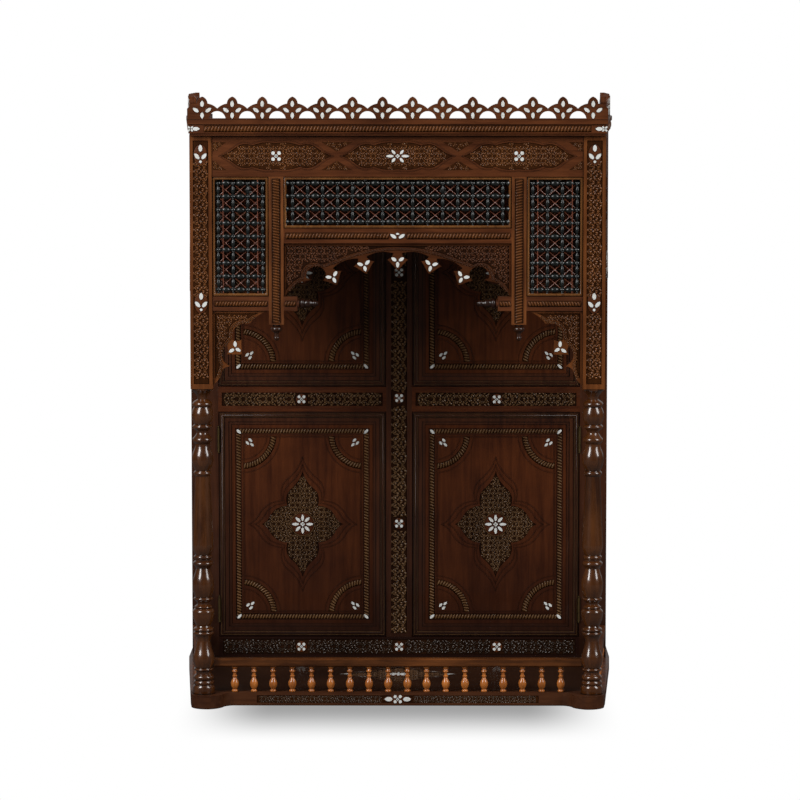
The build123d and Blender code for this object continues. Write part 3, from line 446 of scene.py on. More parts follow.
# ---- paint
class Sock:
    """A socket in a material's node tree, for sums written as expressions."""

    def __init__(self, tree, link=None):
        self.tree = tree
        self.link = link

    def node(self, kind, settings=None, sockets=None, output=0):
        """Adds a node with its settings and its sockets' values or links."""
        made = self.tree.nodes.new("ShaderNode" + kind)
        for key, value in (settings or {}).items():
            if key == "stops":
                ramp = made.color_ramp
                while len(ramp.elements) < len(value):
                    ramp.elements.new(0.5)
                for element, (place, shade) in zip(ramp.elements, value):
                    element.position = place
                    element.color = colour(*shade)
            else:
                setattr(made, key, value)
        for key, value in (sockets or {}).items():
            socket = made.inputs[key]
            if isinstance(value, Sock):
                self.tree.links.new(value.link, socket)
            else:
                socket.default_value = value
        return Sock(self.tree, made.outputs[output] if made.outputs else None)

    def sum(self, operation, first, second):
        return self.node("Math", {"operation": operation}, {0: first, 1: second})

    def __add__(self, other):
        return self.sum("ADD", self, other)

    def __radd__(self, other):
        return self.sum("ADD", other, self)

    def __sub__(self, other):
        return self.sum("SUBTRACT", self, other)

    def __rsub__(self, other):
        return self.sum("SUBTRACT", other, self)

    def __mul__(self, other):
        return self.sum("MULTIPLY", self, other)

    def __rmul__(self, other):
        return self.sum("MULTIPLY", other, self)

    def __pow__(self, other):
        return self.sum("POWER", self, other)

    def __abs__(self):
        return self.node("Math", {"operation": "ABSOLUTE"}, {0: self})

    def faded(self, start, end):
        """A share that rises smoothly from 0 at start to 1 at end."""
        limits = {"Value": self, "From Min": start, "From Max": end}
        return self.node("MapRange", {"interpolation_type": "SMOOTHSTEP"}, limits)

    def mixed(self, first, second):
        """A colour between two, by this socket's share."""
        return self.node("Mix", {"data_type": "RGBA"}, {0: self, 6: first, 7: second}, 2)

    def own_place(self):
        """The piece's own coordinates."""
        return self.node("TexCoord", output=3)

    def noise(self, scale, detail, rough, bend=0.0):
        """A cloudy pattern over these coordinates."""
        return self.node("TexNoise", None, {
            "Vector": self, "Scale": scale, "Detail": detail, "Roughness": rough, "Distortion": bend})

    def axis(self, number):
        """One of these coordinates."""
        return self.node("SeparateXYZ", None, {0: self}, number)


def new_paint(name):
    """An empty material and the sock that builds it."""
    paint = bpy.data.materials.new(name)
    paint.use_nodes = True
    paint.node_tree.nodes.clear()
    return paint, Sock(paint.node_tree)


def surface(sock, sockets):
    """Ends a material in a principled surface."""
    shader = sock.node("BsdfPrincipled", None, sockets)
    sock.node("OutputMaterial", None, {"Surface": shader})


def colour(r, g, b, share=1.0):
    return (r * share, g * share, b * share, 1)


GRAIN = {"x": (3.0, 46.0, 46.0), "y": (46.0, 3.0, 46.0), "z": (46.0, 46.0, 3.0)}


def wood(name, tones, grain="z", gloss=0.34, painted_shade_level=0.10, coat=0.2, reach=3.2, mirror=0.25, dim=None):
    """Oiled hardwood: long grain, cloudy tone, fine pores, and painted shade that darkens recesses and
    corners nearly to black; reach is how far that painted shade spreads.

    dim gives an axis and two places on it: the colour is full at the second and darker before the first. On
    the doors, their frames and the bottom rail this is painted shade; on the strips' and rope rails' turned
    ends it is their own dark colour.
    """
    dark, light = tones
    paint, sock = new_paint(name)
    place = sock.own_place()
    along = sock.node("Mapping", None, {"Vector": place, "Scale": GRAIN[grain]})
    streaks = along.noise(2.2, 5.0, 0.6, 0.5)
    clouds = place.noise(7.0, 3.0, 0.55)
    pores = along.noise(16.0, 2.0, 0.7)
    tone = streaks * 1.7 + clouds * 1.5 + pores * 0.45 - 1.325
    open_wood = tone.mixed(colour(*dark), colour(*light))
    # Painted shade: ambient occlusion darkens the colour in recesses, corners and between parts
    painted_shade_ao = sock.node("AmbientOcclusion", {"samples": 8, "only_local": False}, {"Distance": reach * MM}, 1)
    tint = (painted_shade_ao ** 2.6).mixed(colour(*dark, painted_shade_level), open_wood)
    # Darker before dim's start: painted shade on the doors and bottom rail, own dark colour on turned ends
    if dim:
        axis, start, end = dim
        bright = abs(place.axis(axis)).faded(start, end)
        tint = bright.mixed(colour(*dark, 0.4), tint)
    rough = gloss + streaks * 0.16 + pores * 0.06 - 0.05
    lift = sock.node("Bump", None, {
        "Strength": 0.22, "Distance": 0.0006, "Height": streaks * 0.6 + pores * 0.6})
    surface(sock, {
        "Base Color": tint, "Roughness": rough, "Normal": lift, "Specular IOR Level": mirror,
        "Coat Weight": coat, "Coat Roughness": 0.08, "Coat IOR": 1.5 + mirror * 0.2})
    return paint


# Shares of the cloudy pattern and the colours that they get
PEARL_TONES = (
    (0.30, (0.62, 0.63, 0.58)), (0.48, (0.86, 0.85, 0.80)),
    (0.62, (0.80, 0.84, 0.84)), (0.75, (0.90, 0.84, 0.74)),
)


def pearl():
    """Mother-of-pearl: pale, faintly cloudy and glossy."""
    paint, sock = new_paint("mother_of_pearl")
    clouds = sock.own_place().noise(140.0, 3.0, 0.6)
    tone = sock.node("ValToRGB", {"stops": PEARL_TONES}, {"Fac": clouds})
    surface(sock, {
        "Base Color": tone, "Roughness": 0.24 + clouds * 0.15,
        "Coat Weight": 0.4, "Coat Roughness": 0.12})
    return paint


def lacquer(name, dark, light, gloss):
    """Glossy stain on small turned members."""
    paint, sock = new_paint(name)
    clouds = sock.own_place().noise(60.0, 4.0, 0.6)
    surface(sock, {
        "Base Color": clouds.mixed(colour(*dark), colour(*light)),
        "Roughness": gloss + clouds * 0.18,
        "Normal": sock.node("Bump", None, {"Strength": 0.2, "Distance": 0.0004, "Height": clouds}),
        "Coat Weight": 0.3, "Coat Roughness": 0.15})
    return paint


def brass():
    paint, sock = new_paint("aged_brass")
    clouds = sock.own_place().noise(90.0, 4.0, 0.65)
    surface(sock, {
        "Base Color": clouds.mixed(colour(0.05, 0.03, 0.012), colour(0.20, 0.135, 0.055)),
        "Metallic": 1.0, "Roughness": 0.38 + clouds * 0.3})
    return paint


# The dark and the light tone of each wood
WARM = ((0.046, 0.0110, 0.0025), (0.140, 0.039, 0.0095))
PLANK = ((0.070, 0.0185, 0.0036), (0.205, 0.062, 0.0130))
BRIGHT = ((0.080, 0.0215, 0.0044), (0.232, 0.0720, 0.0155))
DEEP = ((0.038, 0.0074, 0.0014), (0.122, 0.029, 0.0052))
FRAMED = ((0.028, 0.0062, 0.0016), (0.090, 0.0240, 0.0056))
VAULT = ((0.036, 0.0092, 0.0021), (0.108, 0.0310, 0.0078))
DUSK = ((0.036, 0.0100, 0.0038), (0.100, 0.034, 0.0125))
SHADED = ((0.014, 0.0042, 0.0016), (0.042, 0.0145, 0.0055))
HANDLED = ((0.028, 0.0075, 0.0016), (0.175, 0.054, 0.0120))
POLISHED = ((0.036, 0.0090, 0.0015), (0.120, 0.036, 0.0058))
AMBER = ((0.240, 0.060, 0.0080), (0.640, 0.205, 0.0350))
GOLD = ((0.085, 0.028, 0.0070), (0.230, 0.092, 0.0240))
# Lighter tones of carved leaves: partly worn tops, partly painted highlight
BARE_AND_HIGHLIT = ((0.095, 0.030, 0.0070), (0.260, 0.092, 0.0240))
WORN_AND_HIGHLIT = ((0.080, 0.037, 0.0135), (0.212, 0.108, 0.0430))
TWISTED = ((0.074, 0.0225, 0.0052), (0.205, 0.070, 0.0175))
UNDER_ARCH_SHADE = ((0.055, 0.0150, 0.0032), (0.150, 0.044, 0.0100))
FOOT = ((0.045, 0.0190, 0.0085), (0.130, 0.065, 0.0290))
LOW_IN_SHADE = ((0.022, 0.0100, 0.0052), (0.066, 0.0350, 0.0180))
# Painted shade: near-black tones of the sheets and channels in the carved recesses
SUNK = ((0.030, 0.0088, 0.0021), (0.088, 0.0275, 0.0064))
SUNK_DEEP = ((0.020, 0.0058, 0.0014), (0.060, 0.0185, 0.0042))
SUNK_DOOR = ((0.011, 0.0036, 0.0014), (0.034, 0.0120, 0.0042))

# Painted shade: the doors and their frames darker towards the bottom
DOOR_SHADE = (2, -0.18, 0.58)
# Painted shade in the carving: darker, and kept closer to the edges
CRISP = {"painted_shade_level": 0.06, "reach": 2.2}
OPEN = {"coat": 0.1, "mirror": 0.2}
MATT = {"gloss": 0.6, "coat": 0.0, "mirror": 0.04}
WAXED = {"coat": 0.35, "mirror": 0.35}

WOODS = {
    "carved_wood": wood("walnut_carved", WARM),
    "door_wood": wood("walnut_door", DEEP, gloss=0.38, coat=0.12, mirror=0.2, dim=DOOR_SHADE),
    "column_wood": wood("walnut_turned", POLISHED, gloss=0.21, coat=0.75, mirror=0.55),
    "spindle_wood": wood("amber_spindle", AMBER, gloss=0.26, painted_shade_level=0.25, coat=0.5, mirror=0.5),
    "rail_wood": wood("walnut_handrail", HANDLED, "x", gloss=0.26, coat=0.4),
    "deck_wood": wood("walnut_deck", SHADED, "x"),
    "carcass_wood": wood("walnut_carcass", WARM, gloss=0.40, coat=0.1),
    "lattice_wood": lacquer("lattice_black", (0.003, 0.0042, 0.004), (0.010, 0.014, 0.0125), 0.26),
    "hinge_brass": brass(),
    "catch_metal": lacquer("catch_brown", (0.030, 0.014, 0.008), (0.070, 0.035, 0.018), 0.4),
    "shell_inlay": pearl(),
}
CROSSWISE = wood("walnut_crosswise", WARM, "x")
UPRIGHT = wood("walnut_upright", PLANK)
LENGTHWISE = wood("walnut_lengthwise", WARM, "y")
FRAME_WOOD = wood("walnut_frame", FRAMED, coat=0.25, mirror=0.3, dim=DOOR_SHADE)
ARCH_WOOD = wood("walnut_arch", VAULT, "x", gloss=0.42, coat=0.05, mirror=0.12)
BASE_DARK = wood("walnut_base", DUSK, "x", gloss=0.40, coat=0.05, mirror=0.15)
# Painted shade: the bottom rail of the face frame darker than the rails above it
FOOT_RAIL = wood("walnut_foot_rail", DEEP, "x", gloss=0.36, dim=(2, 0.08, 0.20))
STRIP_WOOD = wood("walnut_strip", BRIGHT, dim=(2, STRIP_FOOT - 1 * MM, STRIP_FOOT), **WAXED)
ROPE_RAIL_WOOD = wood("walnut_rope_rail", WARM, "x", dim=(0, RAIL_INNER - 1 * MM, RAIL_INNER), **WAXED)
BEADING = wood("walnut_beading", GOLD, gloss=0.26, coat=0.4)
RUST = lacquer("lattice_rust", (0.065, 0.013, 0.005), (0.225, 0.056, 0.018), 0.5)
# Carved leaves lighter than their boards: partly wear, partly painted highlight on their tops
RELIEF = wood("walnut_relief", BARE_AND_HIGHLIT, gloss=0.32, **OPEN, **CRISP)
DOOR_RELIEF = wood("walnut_door_relief", WORN_AND_HIGHLIT, gloss=0.32, **OPEN, **CRISP)
FOOT_RELIEF = wood("walnut_foot_relief", FOOT, "x", gloss=0.32, **CRISP)
# Painted shade: the bottom rail's leaves darker than the other rails' leaves
LOW_SHADED_RELIEF = wood("walnut_low_shaded_relief", LOW_IN_SHADE, "x", gloss=0.24, **CRISP)
# Painted shade: the arch's carved leaves darker than the other carving, as the recessed arch lies in shade
ARCH_RELIEF = wood("walnut_arch_relief", UNDER_ARCH_SHADE, gloss=0.42, coat=0.0, **CRISP)
ROPE = wood("walnut_rope", TWISTED, reach=2.2, **OPEN)
# Painted shade on the carved ground and in the rope grooves
RECESS_SHADE = wood("walnut_recess_shade", SUNK_DEEP, **MATT)
DOOR_RECESS_SHADE = wood("walnut_door_recess_shade", SUNK_DOOR, **MATT)
ROPE_GROOVE_SHADE = wood("walnut_rope_groove_shade", SUNK, gloss=0.55, coat=0.0, mirror=0.06)

# Paints of carried-over pieces that differ from their slot's; the first name that fits counts.
NODE_PAINTS = (
    (UPRIGHT, "front_post_", "bracket_"),
    (STRIP_WOOD, "rope_strip_"),
    (ROPE_RAIL_WOOD, "rope_rail_"),
    (ARCH_WOOD, "arch_panel"),
    (CROSSWISE, "frieze_rail", "centre_rope_rail", "cornice_front", "crest_front", "porch_roof"),
    (LENGTHWISE, "crest_side_", "cornice_side_", "canopy_side_", "base_side_"),
    (LENGTHWISE, "gallery_rail_left", "gallery_rail_right"),
    (BASE_DARK, "base_"),
    (FOOT_RAIL, "face_rails"),
    (FRAME_WOOD, "face_stile_", "centre_stile", "door_frame_"),
)
# Paints of the leaves, their ground, the ropes and their channels on each wood. The ground and the channels
# are painted shade; the leaves' lighter tone is partly wear and partly painted highlight.
CARVED_PAINTS = {
    "carved_wood": (RELIEF, RECESS_SHADE, ROPE, ROPE_GROOVE_SHADE),
    "door_wood": (DOOR_RELIEF, DOOR_RECESS_SHADE, DOOR_RELIEF, RECESS_SHADE),
    "deck_wood": (FOOT_RELIEF, RECESS_SHADE, ROPE, ROPE_GROOVE_SHADE),
}


def paint_nodes():
    """Every carried-over piece gets the paint of its slot, or one of its own."""
    slots = {row["node"]: row["material_slot"] for row in frame["record"]["subparts"]}
    for name, node in frame["nodes"].items():
        paint = WOODS[slots[name]]
        for other, *starts in NODE_PAINTS:
            if name.startswith(tuple(starts)):
                paint = other
                break
        node.data.materials.clear()
        node.data.materials.append(paint)


# ---- turned members
def spun(profile, sides, name):
    """A turned piece about Z from its (radius, height) profile, in metres."""
    mesh = bpy.data.meshes.new(name)
    mesh.from_pydata([(r, 0, z) for r, z in profile], [(i, i + 1) for i in range(len(profile) - 1)], [])
    piece = stood(name, mesh)
    choose(piece)
    edit()
    bpy.ops.mesh.spin(steps=sides, angle=2 * math.pi, center=(0, 0, 0), axis=(0, 0, 1))
    bpy.ops.mesh.select_all(action="SELECT")
    bpy.ops.mesh.remove_doubles(threshold=0.02 * MM)
    bpy.ops.mesh.normals_make_consistent(inside=False)
    done()
    return piece


def flowing(steps, pieces=7):
    """Points of a turned profile, whose steps are in millimetres."""
    def swelling(start, through, end, t):
        (r0, z0), (r1, z1), (r2, z2) = start, through, end
        z = z0 + (z2 - z0) * t
        share0 = (z - z1) * (z - z2) / ((z0 - z1) * (z0 - z2))
        share1 = (z - z0) * (z - z2) / ((z1 - z0) * (z1 - z2))
        share2 = (z - z0) * (z - z1) / ((z2 - z0) * (z2 - z1))
        return (r0 * share0 + r1 * share1 + r2 * share2, z)

    return [mm(r, z) for r, z in walked(steps, swelling, pieces)]


COLUMN_STEPS = (
    (0, 0), (25.8, 0), (26.5, 1.0), (26.5, 15.5), (25.6, 18.5), (22.5, 22),
    ((24.8, 28), (21, 33.5)), ((24.8, 39.5), (21, 46)),
    (18.5, 49), (18.5, 55),
    ((24, 59), (20.5, 63.5)),
    ((26.4, 81), (23.5, 100)), ((18.8, 117), (16.3, 131)),
    (21.5, 143), ((25.2, 148), (21.5, 153)), ((24.6, 158), (18, 163)), (17, 166),
    ((24, 182), (26.2, 197)), ((25.3, 204), (20, 209)),
    ((21.5, 212.5), (17.5, 216)), (14.8, 219), (14.8, 222),
    (19, 227), ((23.8, 231), (20, 236)),
    ((26.3, 261), (23.3, 286)), ((19.5, 297), (17, 306)),
    (20.5, 312), ((25, 318), (19, 325)), (19, 328),
    ((23, 333.5), (19, 339)),
    ((23.6, 350), (25, 368)),
    (18.3, 527), (18.3, 531),
    ((22.3, 537), (17.8, 544)),
    ((26.2, 567), (22.5, 591)), ((18.8, 601), (17.8, 609)),
    (20, 611.5), ((24.3, 618.5), (19.5, 626)),
    (15.5, 632), ((14, 638), (17.5, 643)),
    ((24.3, 649.5), (19.5, 656)),
    ((26.4, 677), (20.5, 698)),
    ((24.5, 705), (19.5, 712)),
    (11.5, 717), (11.5, 720),
    ((17.5, 730.5), (26.3, 739.5)), (26.5, 741), (26.3, 743), (0, 743),
)
SPINDLE_STEPS = (
    (0, 0), (7.3, 0), (7.5, 0.6), (7.5, 3.8), (6.9, 4.8), (4.8, 7.2),
    ((9.9, 20), (5.0, 33)), (4.4, 36.5), (5.9, 38.2), (5.9, 39.8), (4.0, 42),
    (3.8, 46.5), (5.4, 48.4), ((7.0, 51), (5.4, 53.6)), (4.6, 56), (6.6, 58.6), (7.0, 59.4),
    (7.0, 62.6), (6.8, 63), (0, 63),
)
SPINDLES_FRONT = 18
SPINDLES_SIDE = 10


def columns():
    for side in ("left", "right"):
        node = f"column_{side}"
        low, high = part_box(node)
        piece = spun(flowing(COLUMN_STEPS), 48, f"{node}_turning")
        piece.location = ((low.x + high.x) / 2, (low.y + high.y) / 2, low.z)
        smooth(piece, 35)
        finish(piece, slot="column_wood")
        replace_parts(piece, node)


def spindles():
    pattern = spun(flowing(SPINDLE_STEPS, 6), 20, "spindle")
    low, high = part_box("gallery_spindles_front")
    radius = (high.y - low.y) / 2
    first = low.x + radius
    step = -2 * first / (SPINDLES_FRONT - 1)
    front = [Matrix.Translation((first + step * i, low.y + radius, low.z)) for i in range(SPINDLES_FRONT)]
    low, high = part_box("gallery_spindles_sides")
    run = high.y - low.y - 2 * radius
    step = run / (SPINDLES_SIDE - 1)
    rows = []
    for i in range(SPINDLES_SIDE):
        x = high.x - radius - (run - step * i) * PLATFORM_RISE
        rows += [Matrix.Translation((sign * x, low.y + radius + step * i, low.z)) for sign in (-1, 1)]
    for name, places in (("front", front), ("sides", rows)):
        row = copies(pattern, places, f"spindle_row_{name}")
        smooth(row, 35)
        finish(row, slot="spindle_wood")
        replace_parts(row, f"gallery_spindles_{name}")
    discard(pattern)


# ---- lattices
BEAD_W = 7 * MM            # width of the beaded frame round a lattice


def bar_profile(length, radius):
    """Half-open profile of one turned length between two crossings."""
    half = length / 2
    ring = radius * 0.66
    neck = 1.7
    run = (
        (neck, 0), (ring, half * 0.22), (ring, half * 0.29), (neck, half * 0.37),
        (radius * 0.78, half * 0.58), (radius, half * 0.86), (radius, half * 1.14),
        (radius * 0.78, half * 1.42), (neck, half * 1.63), (ring, half * 1.71),
        (ring, half * 1.78), (neck, length),
    )
    return [mm(r, z) for r, z in run]


def cross_profile(length):
    """Profile of a thin diagonal with a bead at its middle, in the same way up and down."""
    upper = ((2.2, 0), (1.1, 2.5), (0.9, 0.2 * length), (1.6, 0.32 * length), (0.6, 0.42 * length))
    return [mm(r, -z) for r, z in reversed(upper[1:])] + [mm(r, z) for r, z in upper]


def lattice(node, columns_n, rows_n, plane, width, height, slats=()):
    """Turned lattice in a beaded frame, drawn about its centre on a plane."""
    name = node + "_turned"
    hole_w, hole_h = width - 2 * BEAD_W, height - 2 * BEAD_W
    step_u = hole_w / (columns_n - (0.2 if columns_n > 4 else 0.58))
    step_v = hole_h / (rows_n - 0.45)
    us = [(i - (columns_n - 1) / 2) * step_u for i in range(columns_n)]
    vs = [(j - (rows_n - 1) / 2) * step_v for j in range(rows_n)]
    upright = spun(bar_profile(step_v / MM, 4.8), 8, "upright")
    level = spun(bar_profile(step_u / MM, 7.2), 8, "level")
    bpy.ops.mesh.primitive_uv_sphere_add(segments=8, ring_count=6, radius=4.3 * MM)
    knot = active("knot")
    edit()
    bpy.ops.transform.resize(value=(1, 1, 0.9))
    done()
    stand = Matrix.Rotation(math.radians(-90), 4, "X")
    lie = Matrix.Rotation(math.radians(90), 4, "Y")
    uprights, levels, knots = [], [], []
    for u in us:
        for v in [vs[0] - step_v] + vs:
            if v + step_v > hole_h / 2 + step_v * 0.6:
                continue
            uprights.append(Matrix.Translation((u, v, 0)) @ stand)
        knots += [Matrix.Translation((u, v, 0)) for v in vs]
    for v in vs:
        for u in [us[0] - step_u] + us:
            levels.append(Matrix.Translation((u, v, 0)) @ lie)
    black = ((upright, uprights), (level, levels), (knot, knots))
    grid = join([copies(pattern, places, "bars") for pattern, places in black], name)
    trim_to(grid, hole_w / 2 + 1 * MM, hole_h / 2 + 1 * MM)
    grid.data.transform(plane)
    smooth(grid, 50)
    finish(grid, slot="lattice_wood")

    cross = spun(cross_profile(math.hypot(step_u, step_v) / MM), 6, "cross")
    tilt = math.degrees(math.atan2(step_v, step_u))
    places = [spot(u + step_u / 2, v + step_v / 2, side * tilt) @ lie
              for u in us[:-1] for v in vs[:-1] for side in (-1, 1)]
    rusty = [copies(cross, places, "crosses")]
    discard(upright, level, knot, cross)
    for u in slats:
        bpy.ops.mesh.primitive_cube_add(size=1)
        slat = active("slat")
        slat.scale = (2.0 * MM, hole_h, 2.4 * MM)
        slat.location = (u, 0, 5 * MM)
        rusty.append(settle(slat))
    crosses = join(rusty, name + "_crosses")
    crosses.data.transform(plane @ Matrix.Translation((0, 0, -1.2 * MM)))
    smooth(crosses, 50)
    finish(crosses, slot="lattice_wood", paint=RUST)
    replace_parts(beading(name + "_beading", width, height, plane), node)


def trim_to(piece, half_u, half_v):
    """Cuts what reaches past a rectangle about the centre."""
    choose(piece)
    for normal in ((1, 0, 0), (-1, 0, 0), (0, 1, 0), (0, -1, 0)):
        point = (normal[0] * half_u, normal[1] * half_v, 0)
        edit()
        bpy.ops.mesh.bisect(plane_co=point, plane_no=normal, clear_outer=True, use_fill=True)
        done()


def beading(name, width, height, plane):
    """Square moulding round a lattice with all its edges rounded."""
    bpy.ops.mesh.primitive_plane_add(size=1)
    piece = active(name)
    edit()
    bpy.ops.transform.resize(value=(width, height, 1))
    bpy.ops.mesh.inset(thickness=BEAD_W)
    bpy.ops.mesh.delete(type="FACE")
    bpy.ops.mesh.select_all(action="SELECT")
    raised(15 * MM)
    done()
    piece.location = (0, 0, -9 * MM)
    settle(piece)
    bevel = piece.modifiers.new("round", "BEVEL")
    bevel.width = 2.6 * MM
    bevel.segments = 3
    bevel.limit_method = "ANGLE"
    bpy.ops.object.modifier_apply(modifier="round")
    piece.data.transform(plane)
    smooth(piece, 40)
    return finish(piece, paint=BEADING)


def lattices():
    for place, columns_n, rows_n in (("centre", 15, 4), ("left", 4, 9), ("right", 4, 9)):
        low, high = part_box(f"lattice_{place}")
        plane = Matrix.Translation((low + high) / 2) @ Matrix.Rotation(math.radians(90), 4, "X")
        width = high.x - low.x
        slats = () if place == "centre" else (-0.305 * width, 0.305 * width)
        lattice(f"lattice_{place}", columns_n, rows_n, plane, width, high.z - low.z, slats)
    slant = math.atan(FLARE_RISE)
    for side, sign in SIDES:
        node = f"lattice_flank_{side}"
        low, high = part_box(node)
        width = (high.y - low.y - 16 * MM * math.sin(slant)) / math.cos(slant)
        lattice(node, 13, 4, flank(sign, (low + high) / 2), width, high.z - low.z)


# ---- carved boards
shell_places = {}
pad_places = {}


class Board:
    """A carved board: its face, its sunk ground, its wood and the body that it rides on."""

    def __init__(self, face, slot="carved_wood", body="cabinet", relief=None, ground_shade=None):
        self.face = face
        self.ground = face @ Matrix.Translation((0, 0, -CARVE_DEPTH))
        self.slot = slot
        self.body = body
        leaves, ground, self.rope_paint, self.groove_shade_paint = CARVED_PAINTS[slot]
        self.relief = relief or leaves
        self.ground_shade = ground_shade or ground

    def add(self, name, pieces, plane=None, paint=None, degrees=None):
        """Joins flat pieces into one and puts it on the face, or on another plane."""
        piece = join(pieces, name)
        piece.data.transform(plane or self.face)
        if degrees:
            smooth(piece, degrees)
        return finish(piece, self.body, self.slot, paint)

    def carve(self, name, pattern, places, plane=None, paint=None):
        """Copies of a pattern on the ground, or on another plane, as one piece."""
        plane = plane or self.ground
        piece = copies(pattern, [plane @ place for place in places], name)
        return finish(piece, self.body, self.slot, paint or self.relief)

    def leaves(self, name, field, bare=(), size=1.0, room=0.40):
        """Leafy carving that fills a field of the ground."""
        self.carve(name, SPRIG, foliage(field, bare, size, room))

    def leaf_row(self, name, points):
        """Small sprigs in a channel painted dark as shade, for the narrow edge of a carved field."""
        self.carve(name, SPRIG, row_places(points, 0.5, step=SPRIG_STEP), self.face)
        self.add(name + "_channel", [ridge(points, 6 * MM, 0.3 * MM)], paint=RECESS_SHADE)

    def painted_shade_sheets(self, name, fields, plane=None):
        """Painted shade of the carved fields: a thin dark sheet on the ground."""
        sheets = []
        for field in fields:
            bpy.ops.mesh.primitive_circle_add(vertices=len(field), radius=1, fill_type="NGON")
            sheet = active("sheet")
            for vertex, (u, v) in zip(sheet.data.vertices, field):
                vertex.co = (u, v, 0)
            edit()
            raised(0.25 * MM)
            bpy.ops.mesh.select_all(action="SELECT")
            bpy.ops.mesh.normals_make_consistent(inside=False)
            done()
            sheets.append(sheet)
        self.add(name, sheets, plane or self.ground, self.ground_shade)

    def rope(self, name, lines, size, flip=False, reach=1.1, plane=None):
        """Rope carving along lines of points, over a channel painted dark as the shade between its strands.
        """
        plane = plane or self.face
        places = [place for line in lines for place in row_places(line, size, flip, reach)]
        smooth(self.carve(name, STRAND, places, plane, self.rope_paint), 60)
        channels = [ridge(line, 10.2 * size * reach * MM, 0.5 * MM) for line in lines]
        self.add(name + "_channel", channels, plane, self.groove_shade_paint)

    def line(self, name, points, width, paint=None):
        """A thin raised line round a figure."""
        self.add(name, [ridge(points, width, 0.6 * width, closed=True)], paint=paint, degrees=60)

    def pad(self, u, v, radius_u, radius_v=None):
        """A boss of plain wood left standing in a carved field under an inlay."""
        stretch = Matrix.Diagonal((radius_u, radius_v or radius_u, CARVE_DEPTH, 1))
        pad_places.setdefault(self.body, []).append(self.ground @ spot(u, v) @ stretch)

    def lay(self, u, v, length, degrees, width=None, depth=0):
        """One petal of shell, its round end at (u, v)."""
        width = width or PETAL_SHARE * length
        stretch = Matrix.Diagonal((length, width / PETAL_SHARE, 1, 1))
        plane = self.face @ Matrix.Translation((0, 0, -depth))
        shell_places.setdefault(self.body, []).append(plane @ spot(u, v, degrees) @ stretch)

    def quincunx(self, u, v, size):
        """Four rounded petals in a square round a small diamond."""
        for degrees in DIAGONALS:
            self.lay(*turned(u, v, degrees, 1.15 * size), 0.72 * size, degrees + 180, 0.74 * size)
        for degrees in QUARTERS:
            self.lay(u, v, 0.35 * size, degrees, 0.38 * size)

    def star(self, u, v, length):
        """A flower of eight petals, the level ones longer, round a small diamond."""
        for degrees in range(0, 360, 45):
            far = length * (1.1 if degrees in (0, 180) else 1.0)
            self.lay(*turned(u, v, degrees, 0.34 * far), 0.66 * far, degrees, 0.30 * length)
        for degrees in QUARTERS:
            self.lay(u, v, 0.24 * length, degrees, 0.22 * length)

    def trefoil(self, u, v):
        """Top leaf, two side leaves and a dot below."""
        self.lay(u, v + 8 * MM, 16.5 * MM, 90, 9.6 * MM)
        for side in (-1, 1):
            self.lay(u + side * 3 * MM, v - 9.5 * MM, 17 * MM, 90 - side * 41, 9 * MM)
        self.lay(u, v - 12.8 * MM, 6.6 * MM, -90, 6.6 * MM)

    def three_leaves(self, u, v, degrees):
        """One leaf ahead and one back to each side, for cusps and corners."""
        self.lay(*turned(u, v, degrees, 1.5 * MM), 13.8 * MM, degrees, 8.1 * MM)
        for side in (1, -1):
            place = turned(u, v, degrees, -0.9 * MM, side * 3 * MM)
            self.lay(*place, 14.4 * MM, degrees + side * 122, 8.1 * MM)


def clear_of(flowers, radius):
    """Round patches that the leaves keep clear of."""
    return [(u, v, radius * MM) for u, v in flowers]


# ---- posts, frieze, arch
POST_FLOWERS = mm(1336, 982)
CARTOUCHE_PITCH = 290 * MM
ARCH_HALF = ARCH_HI.x
ARCH_FOCUS = 252 * MM      # centre of the arch's circles below the panel's foot
ARCH_FIELD_R = 369 * MM
ARCH_EDGE = 6 * MM         # plain edge beside and above the carved ground
FLOWER_R = 335 * MM
FLOWER_PITCH = 13.8        # degrees


def post_carving():
    board = Board(facing_front(POST_FACE))
    for side, sign in SIDES:
        x = sign * (POST_LO.x + POST_HI.x) / 2
        field = rectangle(x - 18.5 * MM, x + 18.5 * MM, POST_LO.z + 12 * MM, POST_HI.z - 12 * MM)
        flowers = [(x, z) for z in POST_FLOWERS]
        board.painted_shade_sheets(f"post_ground_{side}", [field])
        board.leaves(f"post_leaves_{side}", field, clear_of(flowers, 20), 1.2, 0.32)
        for u, v in flowers:
            board.trefoil(u, v)
            board.pad(u, v, 16 * MM, 25 * MM)


